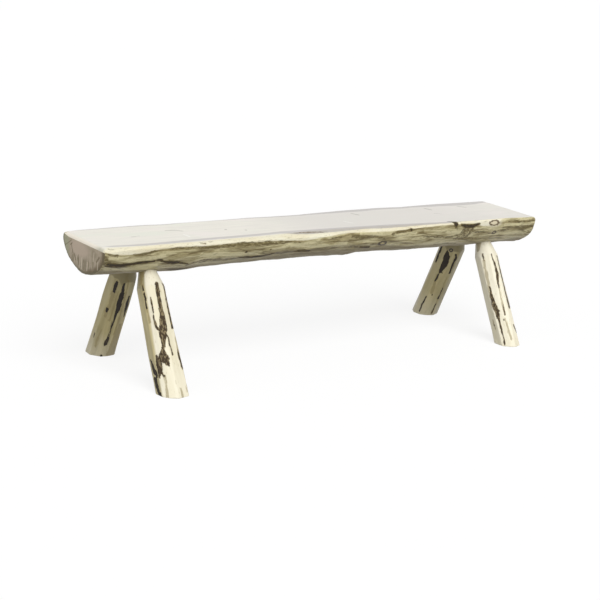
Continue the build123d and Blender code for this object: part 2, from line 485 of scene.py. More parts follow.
def log_outline(settings, x):
    """The log's outline at each x: its y, its z and the girth below the flat's front edge.

    It runs from the back over the arris, the flat, the wane, the front flank and the
    bottom, and up the back flank.
    """
    x = x[:, None]
    share = (x - SEAT_LOW.x) / (SEAT_HIGH.x - SEAT_LOW.x)
    front = settings.left_reach + (settings.right_reach - settings.left_reach) * share
    front = front + smooth_line(FRONT_FLARE, x / MM) * MM
    from_end = np.clip((SEAT_HIGH.x - x) / settings.corner_length, 0, 1)
    front = front - settings.corner_depth * (1 - np.sqrt(1 - (1 - from_end) ** 2))
    depth = settings.left_depth + (settings.right_depth - settings.left_depth) * share
    depth = depth + smooth_line(HANG, x / MM) * MM
    arris = smooth_line(ARRIS, x / MM) * MM
    back = smooth_line(BACK_EDGE, x / MM) * MM + ARRIS_PAST_EDGE * arris
    flat = np.maximum(smooth_line(FLAT_EDGE, x / MM) * MM, LEAST_WANE - front)
    fall = np.interp((front + flat) / MM, *np.array(WANE_FALL).T) * MM
    front_power = smooth_line(FRONT_POWER, x / MM)
    back_power = smooth_line(BACK_POWER, x / MM)
    top = SEAT_HIGH.z
    turn = quarter(ARRIS_SPANS)[None]
    ys = [back - arris + arris * np.cos(turn)]
    zs = [top - arris + arris * np.sin(turn) + 0 * x]
    step = np.arange(FLAT_SPANS)[None] / FLAT_SPANS
    ys.append(back - arris + (flat - back + arris) * step)
    zs.append(top + 0 * ys[-1])
    step = np.arange(WANE_SPANS)[None] / WANE_SPANS
    ys.append(flat * (1 - step) ** 2 - front * (1 - (1 - step) ** 2))
    zs.append(top - fall * (0.5 * step * (1 - step) + step**2))
    turn = quarter(FRONT_SPANS)[None]
    ys.append(-front * np.cos(turn) ** front_power)
    zs.append(top - fall - (depth - fall) * np.sin(turn) ** front_power)
    turn = pi / 2 - quarter(BACK_SPANS)[None]
    ys.append(back * np.cos(turn) ** back_power)
    zs.append(top - arris - (depth - arris) * np.sin(turn) ** back_power)
    y, z = np.hstack(ys), np.hstack(zs)
    steps = np.hypot(np.diff(y, axis=1), np.diff(z, axis=1))
    girth = np.hstack([0 * x, np.cumsum(steps, axis=1)])
    girth = girth - girth[:, ARRIS_SPANS + FLAT_SPANS][:, None]
    return y, z, girth


SLACK = 0.03  # share of what lies past a limit that stays, to keep the values' order


def held_below(values, limits):
    """Values pressed down to their limits, but still in their order."""
    return np.minimum(values, limits + SLACK * (values - limits))


RELIEF_START, RELIEF_RUN = 0.004, 0.03  # girth at which the relief starts, and then is full


def flank_relief(settings, x, girth):
    """How far the peeled flank stands off its fair outline."""
    slow = swells(x / 0.11, girth / 0.06, 1) + 0.5 * swells(x / 0.05, girth / 0.035, 2)
    drift = 0.6 * swells(x / 0.08, girth / 0.05, 3)
    ridges = swells(x / 0.045, girth / 0.0085 + drift, 4)
    ridges = ridges + 0.6 * swells(x / 0.02, girth / 0.005 + drift, 5)
    share = np.clip((girth - RELIEF_START) / RELIEF_RUN, 0, 1)
    return share * (settings.swell_height * slow + settings.ridge_height * ridges)


# (along, around, half width) in millimetres: x, and the girth below the flat's front edge
SEAT_BARK = (
    ((-900, 74, 4), (-878, 78, 8), (-846, 78, 9), (-822, 71, 7), (-775, 65, 6), (-730, 62, 4)),
    ((-914, -248, 6),),
    ((-902, 84, 4), (-858, 87, 3)),
    ((-722, 60, 3), (-708, 60, 6), (-700, 63, 3)),
    ((-704, 66, 3), (-678, 72, 8), (-650, 76, 8), (-626, 83, 5), (-600, 90, 3)),
    ((-668, 118, 3), (-650, 125, 6), (-628, 132, 11), (-604, 130, 10), (-585, 124, 4)),
    ((-402, 88, 4), (-354, 93, 6), (-306, 94, 6), (-270, 90, 4)),
    ((-190, 92, 4), (-160, 94, 6), (-126, 99, 4)),
    ((142, 91, 3), (178, 92, 2)),
    ((94, 104, 5), (138, 108, 5)),
    ((490, -12, 3), (502, -5, 7), (511, 4, 10), (515, 12, 10), (517, 20, 4), (513, 24, 2)),
    ((538, 14, 3), (548, 18, 6), (576, 22, 8), (606, 20, 7), (630, 15, 3)),
    ((306, 36, 7),),
    ((-292, 66, 2.5),),
    ((-388, 64, 5),),
)
SEAT_STAIN = (
    ((-904, 41, 3), (-868, 43, 3)),
    ((-914, 72, 9), (-878, 80, 13), (-846, 80, 12), (-800, 70, 8), (-740, 63, 5)),
    ((-914, 50, 5), (-904, 60, 6)),
    ((-810, 36, 3), (-762, 30, 3), (-710, 23, 2), (-638, 25, 4), (-562, 30, 4), (-498, 34, 5)),
    ((-490, 34, 4), (-454, 34, 6), (-386, 35, 7), (-306, 41, 7), (-258, 46, 5), (-174, 56, 3)),
    ((-602, 98, 5), (-582, 90, 4), (-546, 83, 4), (-482, 83, 3)),
    ((-554, 92, 4), (-502, 86, 5), (-442, 93, 6), (-402, 89, 5)),
    ((-280, 91, 5), (-240, 92, 7), (-196, 91, 6), (-126, 100, 4)),
    ((42, 98, 4), (98, 102, 5), (122, 100, 3)),
    ((-46, 58, 2), (-6, 56, 3)),
    ((42, 56, 5), (90, 62, 6), (130, 58, 4)),
    ((222, 52, 4), (254, 43, 5), (302, 35, 3)),
    ((90, 64, 4), (138, 62, 5), (190, 67, 4)),
    ((134, 92, 2), (178, 93, 3)),
    ((374, 62, 4), (454, 62, 5), (478, 66, 4), (534, 58, 3), (558, 48, 2)),
    ((506, 18, 3), (526, 32, 3)),
    ((560, 30, 6), (552, 52, 8), (540, 66, 5)),
    ((598, 30, 5), (590, 56, 7), (580, 70, 5)),
    ((600, 40, 3), (624, 50, 4), (650, 50, 4), (694, 56, 3)),
    ((730, 50, 3), (782, 48, 2)),
    ((638, 86, 3), (690, 86, 3)),
    ((774, 15, 2), (840, 16, 4), (905, 15, 5)),
    ((750, 38, 3), (840, 40, 6), (905, 40, 7)),
    ((450, 108, 3), (562, 112, 3)),
)
SEAT_VEIN = (
    ((578, 26, 4), (574, 40, 10), (566, 58, 11), (558, 70, 5)),
    ((530, 76, 4), (562, 76, 6), (600, 78, 5), (640, 84, 4)),
    ((-180, 8, 4), (-150, 12, 5), (-120, 16, 5), (-88, 21, 4), (-55, 27, 3)),
    ((-566, 12, 2.4), (-550, 18, 2.4)),
    ((-534, 12, 2), (-522, 12, 1.5)),
    ((-894, 16, 1.5), (-878, 20, 1.5)),
)
SEAT_PALE = (
    ((80, 48, 5), (170, 47, 7), (234, 46, 5)),
    ((-894, 50, 6), (-800, 52, 8), (-700, 44, 5)),
    ((-900, 98, 7), (-820, 97, 8), (-764, 92, 11), (-720, 88, 9)),
    ((-560, 58, 6), (-440, 66, 8), (-330, 72, 5)),
    ((-210, 66, 5), (-100, 78, 7), (20, 80, 5)),
    ((234, 57, 4), (278, 49, 5), (330, 46, 4)),
    ((370, 40, 5), (442, 46, 8), (522, 57, 10), (604, 62, 8)),
    ((374, 60, 4), (478, 70, 4)),
    ((410, 34, 4), (470, 34, 7), (520, 40, 9), (556, 42, 4)),
    ((650, 66, 4), (780, 64, 6), (880, 68, 5)),
    ((756, 26, 3), (860, 27, 4), (910, 27, 3)),
    ((740, 5, 4), (850, 5, 5), (910, 6, 5)),
    ((780, 60, 4), (905, 58, 5)),
)
# (x, girth) in millimetres: lower edge of the pale wane
WANE_LOW = (
    (-914, 34), (-890, 38), (-846, 38), (-810, 35), (-762, 27), (-710, 21), (-640, 22),
    (-560, 27), (-442, 30), (-306, 35), (-222, 45), (-138, 53), (-54, 51), (30, 44),
    (102, 42), (165, 42), (234, 40), (302, 33), (370, 25), (438, 18), (490, 14), (545, 12),
    (600, 12), (628, 22), (664, 27), (706, 22), (740, 8), (780, -2), (830, -6), (915, -8),
)
# (x, girth) in millimetres: the edges of the blue-stain band along the flat's front
LILAC_HIGH = (
    (-914, -5), (-860, -18), (-600, -28), (-240, -26), (-100, -12), (0, -8), (490, -8),
    (915, 0),
)
LILAC_LOW = (
    (-914, -6), (-860, -1), (-560, -1), (-250, 0), (-210, 8), (-174, 21), (-110, 29), (-38, 32),
    (42, 26), (102, 24), (170, 25), (234, 22), (302, 18), (370, 13), (438, 9), (490, 6),
    (560, -4), (915, -8),
)
# (x, width) in millimetres: a fainter band of painted shade along the flat's back
REAR_SHADE = (
    (-914, -4), (-840, 8), (-560, 12), (-420, 4), (-260, 10), (-60, 14), (100, 22), (280, 34),
    (380, 28), (520, 24), (640, 38), (760, 46), (870, 34), (915, 20),
)
REAR_SHADE_SHARE = 0.85  # how strong it is, next to the front one

# (x, y, half width) in millimetres: knife dashes, specks and a swirl on the flat
FLAT_SMUDGE = (
    ((222, 101, 3), (232, 73, 3)),
    ((569, 98, 4), (576, 70, 3)),
    ((733, 98, 3), (750, 71, 3)),
    ((544, 13, 2), (564, -3, 1)),
    ((-385, 2, 4),),
    ((-322, -25, 4),),
    ((-590, 50, 1.5), (-570, 47, 3), (-554, 41, 2.5), (-540, 24, 1.5)),
    ((-746, -3, 1), (-714, 3, 1)),
)
FLAT_FLECK = (
    ((-563, -20, 3), (-560, -53, 4)),
    ((106, -3, 3), (120, -38, 3)),
)


class Spread(NamedTuple):
    """Where seeded marks may lie, and how long and wide they are."""

    along: tuple
    around: tuple
    run: tuple
    lean: float
    width: tuple


MARK_TIP = 2  # mm, half the width of a seeded mark at its ends


def seeded_marks(seed, count, spread):
    """Marks like the others, for a side that faces away."""
    draw = np.random.default_rng(seed)
    marks = []
    for _ in range(count):
        low, run = draw.uniform(*spread.along), draw.uniform(*spread.run)
        middle, lean = draw.uniform(*spread.around), draw.uniform(-spread.lean, spread.lean)
        width = draw.uniform(*spread.width)
        marks.append((
            (low, middle, MARK_TIP),
            (low + run * 0.4, middle + lean * 0.3, width),
            (low + run, middle + lean, MARK_TIP),
        ))
    return tuple(marks)


# each kind of mark on the front flank, and the seed of those on the back flank
SEAT_MARKS = {
    "bark": (SEAT_BARK, 31),
    "stain": (SEAT_STAIN, 32),
    "vein": (SEAT_VEIN, 33),
    "pale": (SEAT_PALE, 34),
}
# (x and girth below the back edge, in millimetres)
BACK_SPREAD = Spread((-880, 700), (24, 105), (50, 240), 10, (3, 8))
BACK_MARKS = 16
BACK_WANE_LOSS = 14  # mm by which the wane is narrower at the back

# y up to which the flat rounds down into the left end in full, and where it does by half
FULL_EASING_Y, HALF_EASING_Y = 0.105, 0.140
SKEW_FROM = 0.80  # x past which the log leans into its skewed right end
SKEW_HINGE = 0.110  # y behind which that end stays where it is


def shape_seat(settings):
    """The half log, shaped ring by ring from a round blank."""
    length = SEAT_HIGH.x - SEAT_LOW.x
    easing = settings.end_easing
    seat = round_blank("log_seat", SEAT_SIDES, SEAT_CUTS, SEAT_BLANK, length, easing)
    turns, inset, height, ring = blank_corners(seat, SEAT_BLANK, length, easing, SEAT_RINGS)
    side = np.rint((turns - 0.25) * SEAT_SIDES).astype(int) % SEAT_SIDES  # the first at +Y
    places = np.linspace(SEAT_LOW.x + easing, SEAT_HIGH.x - easing, SEAT_RINGS + 1)
    y, z, girth = log_outline(settings, places)
    relief = flank_relief(settings, places[:, None] + 0 * girth, girth)
    along_y = np.roll(y, -1, axis=1) - np.roll(y, 1, axis=1)
    along_z = np.roll(z, -1, axis=1) - np.roll(z, 1, axis=1)
    turn = np.hypot(along_y, along_z)
    out_y, out_z = along_z / turn, -along_y / turn
    y, z = y + out_y * relief, z + out_z * relief
    past_low = np.minimum(height - easing, 0)
    past_high = np.maximum(height - length + easing, 0)
    at = (ring, side)
    x = places[ring] + past_low + past_high
    final_y = y[at] - out_y[at] * inset
    final_z = np.minimum(z[at] - out_z[at] * inset, SEAT_HIGH.z)
    reach = np.clip((x - SEAT_LOW.x) / settings.top_easing_length, 0, 1)
    drop = settings.top_easing_depth * (1 - np.sqrt(1 - (1 - reach) ** 2))
    drop = drop * np.interp(final_y, (FULL_EASING_Y, HALF_EASING_Y), (1, 0.5))
    final_z = held_below(final_z, SEAT_HIGH.z - drop)
    near_end = np.clip((x - SKEW_FROM) / (SEAT_HIGH.x - SKEW_FROM), 0, 1) ** 2
    x = x - near_end * (SKEW_HINGE - final_y).clip(0) * tan(settings.end_skew)
    place_corners(seat, np.stack([x, final_y, final_z], axis=1))
    x_mm, y_mm, girth_mm = places[ring] / MM, final_y / MM, girth[at] / MM
    from_back = (girth[:, -1:] - girth)[at]
    for name, (marks, seed) in SEAT_MARKS.items():
        back = seeded_marks(seed, BACK_MARKS, BACK_SPREAD)
        field = mark_field(x_mm, girth_mm, marks)
        store(seat, name, np.maximum(field, mark_field(x_mm, from_back / MM, back)))
    store(seat, "smudge", mark_field(x_mm, y_mm, FLAT_SMUDGE))
    store(seat, "fleck", mark_field(x_mm, y_mm, FLAT_FLECK))
    nearest = np.minimum(girth[at], from_back)
    wane_low = smooth_line(WANE_LOW, x_mm) - np.where(from_back < girth[at], BACK_WANE_LOSS, 0)
    store(seat, "wane", (wane_low - nearest / MM) / MARK_SOFTNESS)
    below_high = girth_mm - smooth_line(LILAC_HIGH, x_mm)
    above_low = smooth_line(LILAC_LOW, x_mm) - girth_mm
    in_front = np.minimum(below_high, above_low)
    # painted shade along the back edge of the flat, kept together with the front's blue stain
    rear_shade = smooth_line(REAR_SHADE, x_mm) - (smooth_line(BACK_EDGE, x_mm) - y_mm)
    rear_shade = np.where(girth_mm < 0, rear_shade, -MARK_SOFTNESS)
    store(seat, "blue_stain_and_shade", np.maximum(in_front, REAR_SHADE_SHARE * rear_shade) / MARK_SOFTNESS)
    store(seat, "girth", nearest)
    return seat


MOUTH_LENGTH = 0.05  # how far a mortise's cone mouth opens, to clear the log's surface
MORTISE_SIDES = 64


def mortise_cutter(legs, pole):
    """A leg's round mortise and the cone mouth that takes its shoulder."""
    line = leg_axle(pole.node)
    fit = legs.mortise_fit
    radius = legs.tenon_radius + fit
    shoulder = line.length - legs.tenon_length + legs.shoulder_sink
    slope = (pole.hip_radius - legs.tenon_radius) / legs.shoulder_length
    outline = (
        (radius + slope * MOUTH_LENGTH, shoulder - MOUTH_LENGTH),
        (radius, shoulder),
        (radius, line.length - legs.tenon_lead),
        (radius - legs.tenon_lead, line.length + fit),
    )
    return turned("mortise_cutter", outline, MORTISE_SIDES, line)


SCREW_RADIUS = 0.0024
SCREW_HEAD_RADIUS = 0.0047
SCREW_FIT = 0.0001
SCREW_HOLE_SIDES = 24
POCKET_DEPTH = 0.028


def screw_node(pole):
    return pole.node.replace("_leg", "_tenon_screw")


def screw_axle(node):
    """From the middle of a screw's head to its point."""
    low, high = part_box(node)
    direction = Vector((0, -1 if low.y + high.y < 0 else 1, 1)).normalized()
    places = [vert.co for vert in frame["nodes"][node].data.vertices]
    point = max(places, key=lambda place: place.dot(direction))
    length = max((point - place).dot(direction) for place in places)
    return axle(point - direction * length, point)


def screw_cutter(node):
    """The pocket, countersink and hole that take one screw."""
    line = screw_axle(node)
    head = SCREW_HEAD_RADIUS + SCREW_FIT
    shank = SCREW_RADIUS + SCREW_FIT
    outline = (
        (head, -POCKET_DEPTH),
        (head, 0),
        (shank, head - shank),
        (shank, line.length + SCREW_FIT),
    )
    return turned("screw_cutter", outline, SCREW_HOLE_SIDES, line)


# ==================================================================== the pole legs
POLE_SIDES = 128
POLE_BLANK = 0.05  # radius of the blank that a pole is shaped from
POLE_CUTS = (4, 35)
POLE_RINGS = (POLE_CUTS[0] + 1) * (POLE_CUTS[1] + 1)
CONE_RINGS, TENON_RINGS = 45, 6
CONE_REACH = 1.35  # the close rings start this many shoulder lengths below its top
FOOT_FADE = 0.14  # the height at which rings no longer lean to the floor
POLE_TURN = 360  # marks on a pole are given in degrees round it
DEGREE = 0.785  # mm round a pole of usual girth

# (along, round, half width): mm up from the foot, degrees round from +X, mm
POLE_BARK = {
    "front_left_leg": (
        ((348, -88, 6.5), (308, -93, 6.5), (279, -94, 7.5), (250, -94, 8.5), (221, -97, 11)),
        ((221, -97, 11), (199, -103, 14), (173, -109, 10), (152, -114, 6), (141, -117, 5)),
        ((135, -119, 6), (122, -122, 11), (106, -119, 13), (92, -115, 7), (84, -112, 3)),
        ((349, -152, 2), (334, -151, 2.5)),
        ((308, -127, 2), (292, -126, 2.5), (257, -127, 2)),
        ((123, -151, 3), (109, -148, 6), (93, -145, 11), (79, -145, 8), (53, -153, 3)),
        ((123, -131, 5), (102, -140, 8)),
        ((115, 174, 3), (94, 180, 6), (75, 188, 8), (58, 196, 4)),
        ((54, 182, 6), (33, 186, 7), (12, 189, 6), (-6, 196, 4)),
        ((73, -145, 2), (54, -134, 3)),
        ((249, -129, 2), (214, -129, 3), (201, -120, 4)),
        ((325, -149, 3), (277, -152, 3)),
        ((195, -96, 3), (171, -90, 3), (145, -89, 3), (115, -84, 2)),
        ((343, -53, 6), (325, -53, 6), (299, -54, 5), (249, -56, 5), (202, -57, 5)),
        ((131, -57, 2), (100, -57, 4), (68, -53, 3)),
    ),
    "back_left_leg": (
        (
            (339, -110, 3), (319, -110, 5), (289, -108, 8), (251, -106, 9), (220, -107, 6),
            (200, -108, 4),
        ),
        (
            (200, -108, 4), (154, -112, 2.5), (115, -111, 2), (91, -113, 6), (78, -115, 5),
            (68, -117, 1),
        ),
        ((280, -68, 4), (253, -68, 6), (222, -66, 5), (195, -66, 3)),
        ((336, -145, 4), (318, -145, 7), (296, -144, 6)),
        ((218, -151, 5), (208, -151, 4)),
        ((97, -174, 3), (80, -175, 2)),
        ((30, -117, 3), (24, -117, 4)),
    ),
    "front_right_leg": (
        ((343, -147, 3), (319, -149, 3)),
        ((336, -103, 2), (287, -96, 4), (258, -98, 6), (232, -103, 5), (208, -105, 2)),
        ((141, -107, 3), (120, -108, 4), (103, -109, 2)),
        (
            (219, -150, 2), (193, -151, 4), (172, -151, 6), (142, -148, 9), (123, -141, 9),
            (105, -144, 6),
        ),
        ((105, -144, 6), (80, -142, 4), (33, -141, 3), (-5, -143, 3)),
        ((324, -64, 4), (273, -66, 5), (228, -66, 4), (182, -67, 6), (131, -64, 8)),
        ((61, -65, 3), (34, -54, 4)),
        ((86, -119, 3),),
        ((75, -175, 3),),
    ),
    "back_right_leg": (
        (
            (326, -150, 4), (303, -145, 12), (283, -140, 12), (262, -141, 11), (236, -145, 7),
            (222, -147, 2),
        ),
        ((216, -148, 3), (183, -151, 3)),
        ((228, -137, 4),),
        ((325, -108, 3), (307, -100, 5), (277, -102, 5), (232, -99, 3)),
        ((160, -101, 2), (106, -101, 3)),
        ((79, -101, 3), (32, -102, 2)),
        ((330, 163, 7), (300, 165, 6), (270, 166, 5), (250, 166, 2)),
        ((98, -160, 3), (57, -165, 4), (21, -166, 3)),
        ((117, -138, 3),),
    ),
}
# olive and brown stains, in the same way; the two high on the front poles' shoulders are partly
# painted shadow of the log
POLE_STAIN_AND_SHADOW = {
    "front_left_leg": (
        ((351, -153, 4), (343, -149, 3)),
        # painted shadow of the log on the shoulder's left, mixed with bark stain
        ((360, -170, 8), (383, -162, 13), (398, -142, 11), (404, -120, 6)),
        ((277, -153, 3), (230, -150, 3)),
        ((54, -132, 3), (14, -134, 3), (-11, -136, 3)),
        ((14, -49, 3), (-6, -54, 3)),
        ((6, -81, 2), (-20, -81, 3)),
        ((250, -38, 3), (190, -49, 3), (131, -57, 3), (68, -53, 3)),
    ),
    "back_left_leg": (
        ((290, -147, 7), (266, -147, 7), (240, -144, 5), (214, -151, 7), (187, -150, 5)),
        ((130, -148, 3), (88, -151, 4), (52, -152, 3)),
        ((300, -125, 3), (180, -128, 3)),
        ((350, -95, 3), (300, -90, 3), (150, -88, 4), (105, -84, 5)),
        ((160, -74, 6), (100, -74, 14), (40, -76, 16), (-6, -78, 16)),
    ),
    "front_right_leg": (
        ((319, -149, 4), (260, -152, 5), (180, -155, 4)),
        ((208, -105, 2), (141, -107, 3)),
        ((90, -112, 3), (42, -108, 4), (10, -105, 3)),
        # painted shadow of the log on the shoulder's left, mixed with bark stain
        ((364, -176, 8), (386, -168, 15), (402, -148, 12), (408, -128, 6)),
        ((95, -176, 3), (60, -174, 3)),
    ),
    "back_right_leg": (
        ((213, -105, 3), (160, -101, 3), (32, -102, 3)),
        ((210, -150, 3), (150, -146, 6), (120, -142, 3)),
    ),
}
HIDDEN_MARKS = 9
# (mm up the pole, degrees round it)
HIDDEN_SPREAD = Spread((10, 300), (-20, 125), (25, 110), 5, (3, 8))

FLAT_SHARPNESS = 64
FLAT_WANDER = 0.16  # radians by which a flat's middle strays on its way up
FLAT_SHAVE = 0.012  # share of the radius by which its depth varies


def cut_flats(pole, count, along, angle):
    """A pole's hand-cut flats, whose edges wander: share of its radius, and each one's tone."""
    draw = np.random.default_rng(pole.seed)
    total, toned = 0, 0
    for index in range(count):
        middle = (index + draw.uniform(-0.28, 0.28)) * 2 * pi / count
        reach = draw.uniform(0.95, 0.985)
        tone = draw.uniform(-1, 1)
        wander = FLAT_WANDER * swells(along / 0.13, along * 0 + 3.7 * index, pole.seed)
        shave = FLAT_SHAVE * swells(along / 0.07, along * 0 + 5.3 * index, pole.seed + 50)
        facing = np.cos(angle - middle - wander).clip(0.01)
        weight = (facing / (reach + shave)) ** FLAT_SHARPNESS
        total, toned = total + weight, toned + weight * tone
    return total ** (-1 / FLAT_SHARPNESS), toned / total


def shape_leg(settings, pole):
    """One pole, shaped ring by ring from a round blank: flats, cone shoulder and tenon."""
    line = leg_axle(pole.node)
    easing = settings.foot_easing
    name = pole.node + "_pole"
    leg = round_blank(name, POLE_SIDES, POLE_CUTS, POLE_BLANK, line.length, easing)
    turns, inset, height, ring = blank_corners(leg, POLE_BLANK, line.length, easing, POLE_RINGS)
    angle = np.rint(turns * POLE_SIDES) * 2 * pi / POLE_SIDES
    shoulder_top = line.length - settings.tenon_length + settings.shoulder_sink
    cone_foot = shoulder_top - CONE_REACH * settings.shoulder_length
    # wide rings on the pole, close ones on the cone, and one on each edge of the tenon
    pole_rings = POLE_RINGS - CONE_RINGS - TENON_RINGS
    places = np.concatenate([
        np.linspace(easing, cone_foot, pole_rings + 1)[:-1],
        np.linspace(cone_foot, shoulder_top, CONE_RINGS + 1)[:-1],
        np.linspace(shoulder_top, line.length - easing, TENON_RINGS + 1),
    ])
    along = places[ring] + np.maximum(height - line.length + easing, 0)
    level = np.minimum(height, easing)
    slope = (pole.hip_radius - settings.tenon_radius) / settings.shoulder_length
    taper = (pole.hip_radius - pole.foot_radius) / (HIP_HEIGHT / line.up.z)
    lift = np.cos(angle) * line.out.z + np.sin(angle) * line.across.z
    fade = np.clip(1 - places[ring] / FOOT_FADE, 0, 1)

    def cone_at(along):
        return settings.tenon_radius + slope * (shoulder_top - along).clip(0)

    def radius_at(along):
        share, _ = cut_flats(pole, settings.flat_count, along, angle)
        return np.minimum((pole.foot_radius + taper * along) * share, cone_at(along)) - inset

    def leaned_to(radius, on_foot):
        """Distances up the pole: its foot is sawn level, so rings lean to the floor there."""
        sawn = (level - radius * lift) / line.up.z
        return np.where(on_foot, sawn, along + fade * (sawn - easing))

    radius = radius_at(along)
    for _ in range(2):  # a ring that leans meets the taper elsewhere, so its radius changes
        radius = radius_at(leaned_to(radius, height < easing))
    leaned = leaned_to(radius, height <= easing)
    degrees_round = np.degrees(angle)
    fields = {}
    # the stain marks also hold painted shadow of the log on the front poles' shoulders
    for name, seen, seed in (
        ("bark", POLE_BARK, pole.seed), ("stain", POLE_STAIN_AND_SHADOW, pole.seed + 20)
    ):
        marks = seen[pole.node] + seeded_marks(seed, HIDDEN_MARKS, HIDDEN_SPREAD)
        marks = [[(a, g * DEGREE, w) for a, g, w in mark] for mark in marks]
        turn = POLE_TURN * DEGREE
        fields[name] = mark_field(leaned / MM, degrees_round * DEGREE, marks, turn)
    bark = np.clip((fields["bark"] - 0.45) * 5, 0, 1)
    bumpy = 0.6 + 0.4 * swells(leaned / 0.006, angle * 9, pole.seed)
    on_pole = np.where((height > easing) & (leaned < shoulder_top), 1, 0)
    radius = radius + settings.bark_height * bark * bumpy * on_pole
    place_corners(leg, on_axle(line, leaned, angle, radius))
    for name, field in fields.items():
        store(leg, name, field * (leaned < shoulder_top))
    store(leg, "shoulder", np.clip(1 - (cone_at(leaned) - radius) / MM, 0, 1))
    store(leg, "facet", cut_flats(pole, settings.flat_count, leaned, angle)[1])
    # olive tint and painted shade: all round a darker pole, paler to its foot, and painted shade
    # down a pole's left side
    from_left = np.abs(degrees_round % 360 - 180)
    left_edge = LEFT_SIDE + LEFT_WIDENING * (leaned - 0.2)
    left = np.clip((left_edge - from_left) / LEFT_FADE + 1, 0, 1)
    foot = np.clip(1 - leaned / PALE_FOOT, 0, 1)
    store(leg, "khaki_and_shade", pole.khaki_and_shade * (1 - FOOT_LOSS * foot) + pole.left_shade * left)
    own = np.stack([np.cos(angle) * radius, np.sin(angle) * radius, leaned + pole.seed], axis=1)
    store(leg, "pole", own)
    return leg


# ==================================================================== shader tools
class Wiring:
    """Adds nodes to one tree, each fed by values or by other nodes' sockets."""

    def __init__(self, tree):
        self.tree = tree

    def add(self, kind, feeds=None, **settings):
        node = self.tree.nodes.new("ShaderNode" + kind)
        for name, value in settings.items():
            setattr(node, name, value)
        for key, value in (feeds or {}).items():
            if isinstance(value, bpy.types.NodeSocket):
                self.tree.links.new(value, node.inputs[key])
            else:
                node.inputs[key].default_value = value
        return node

    def math(self, operation, first, second=0.0):
        return self.add("Math", {0: first, 1: second}, operation=operation).outputs[0]

    def times(self, first, second, plus=0.0):
        """The product of two values, and a third added to it."""
        feeds = {0: first, 1: second, 2: plus}
        return self.add("Math", feeds, operation="MULTIPLY_ADD").outputs[0]

    def vector(self, operation, first, second=(0, 0, 0)):
        node = self.add("VectorMath", {0: first, 1: second}, operation=operation)
        return node.outputs["Value" if operation in ("LENGTH", "DOT_PRODUCT") else "Vector"]

    def stretch(self, vector, scale):
        return self.vector("MULTIPLY", vector, scale)

    def split(self, vector):
        return self.add("SeparateXYZ", {0: vector}).outputs

    def mix(self, share, first, second, strength=1.0):
        """The first colour with the second over it, by a share times a strength."""
        if strength != 1:
            share = self.times(share, strength)
        node = self.add("Mix", {0: share, 6: opaque(first), 7: opaque(second)}, data_type="RGBA")
        return node.outputs[2]

    def layers(self, colour, *layers):
        """A colour under layers: each is a share, a colour and, below 1, a strength."""
        for share, tint, *strength in layers:
            colour = self.mix(share, colour, tint, *strength)
        return colour

    def noise(self, vector, scale, detail=2.0, roughness=0.5, distortion=0.0, along=1.0):
        """Noise, with its scale along Z multiplied by along."""
        if along != 1:
            vector = self.stretch(vector, (1, 1, along))
        feeds = {"Vector": vector, "Scale": scale, "Detail": detail}
        feeds.update({"Roughness": roughness, "Distortion": distortion})
        return self.add("TexNoise", feeds).outputs["Fac"]

    def between(self, value, low, high):
        """0 at the low value, 1 at the high one, smooth between them."""
        feeds = {"Value": value, "From Min": low, "From Max": high}
        return self.add("MapRange", feeds, interpolation_type="SMOOTHSTEP").outputs[0]

    def kept(self, name, output="Fac"):
        return self.add("Attribute", attribute_name=name).outputs[output]

    def group(self, tree, **feeds):
        return self.add("Group", feeds, node_tree=tree).outputs


def opaque(value):
    """A socket as it is; a setting, or a screen colour from 0 to 255, with its opacity."""
    if isinstance(value, bpy.types.NodeSocket):
        return value
    channels = paint(*value) if isinstance(value, tuple) else value
    return (*channels, 1)


def new_group(name, **inputs):
    """An empty shader group, with a value or a vector input for each default."""
    tree = bpy.data.node_groups.new(name, "ShaderNodeTree")
    for socket, default in inputs.items():
        kind = "NodeSocketFloat" if isinstance(default, float) else "NodeSocketVector"
        made = tree.interface.new_socket(socket, in_out="INPUT", socket_type=kind)
        made.default_value = default
    return Wiring(tree), tree.nodes.new("NodeGroupInput").outputs


def close_group(wiring, **values):
    """Ends a group in one output for each named value."""
    tree = wiring.tree
    for name in values:
        tree.interface.new_socket(name, in_out="OUTPUT", socket_type="NodeSocketFloat")
    sink = tree.nodes.new("NodeGroupOutput")
    for name, value in values.items():
        tree.links.new(value, sink.inputs[name])
    return tree


@cache
def fibre_group():
    """Fine wood fibre along Z: even tone, fine tone and height."""
    wiring, source = new_group("Wood Fibre", Vector=(0, 0, 0))
    broad = wiring.noise(source["Vector"], 55, 3, 0.55, 0.6, along=0.12)
    fine = wiring.noise(source["Vector"], 420, 3, 0.6, along=0.04)
    height = wiring.times(fine, 0.6, wiring.times(broad, 0.8))
    return close_group(wiring, Broad=broad, Fine=fine, Height=height)


@cache
def figure_group():
    """Flame figure of a peeled log: contour bands that run along Z."""
    wiring, source = new_group("Flame Figure", Vector=(0, 0, 0), Bands=5.0)
    field = wiring.noise(source["Vector"], 20, 3, 0.5, 0.7, along=0.14)
    band = wiring.math("PINGPONG", wiring.times(field, source["Bands"]), 0.5)
    band = wiring.times(band, 2.0)
    return close_group(wiring, Band=band, Line=wiring.between(band, 0.22, 0.0))


@cache
def mark_group():
    """A mark's ragged edge: its mask, the halo round it, its core, its flecks and height."""
    wiring, source = new_group("Ragged Mark", Field=0.0, Vector=(0, 0, 0), Raggedness=0.3)
    wander = wiring.noise(source["Vector"], 240, 4, 0.6, along=0.16)
    shift = wiring.math("SUBTRACT", wander, 0.5)
    field = wiring.times(shift, source["Raggedness"], source["Field"])
    mask = wiring.between(field, 0.46, 0.54)
    fleck = wiring.between(wiring.noise(source["Vector"], 190, 3, 0.6, along=0.4), 0.48, 0.6)
    return close_group(
        wiring,
        Mask=mask,
        Halo=wiring.between(field, 0.15, 0.5),
        Core=wiring.between(field, 0.5, 0.85),
        Fleck=fleck,
        Height=wiring.times(mask, wiring.times(fleck, 0.5, 0.5)),
    )


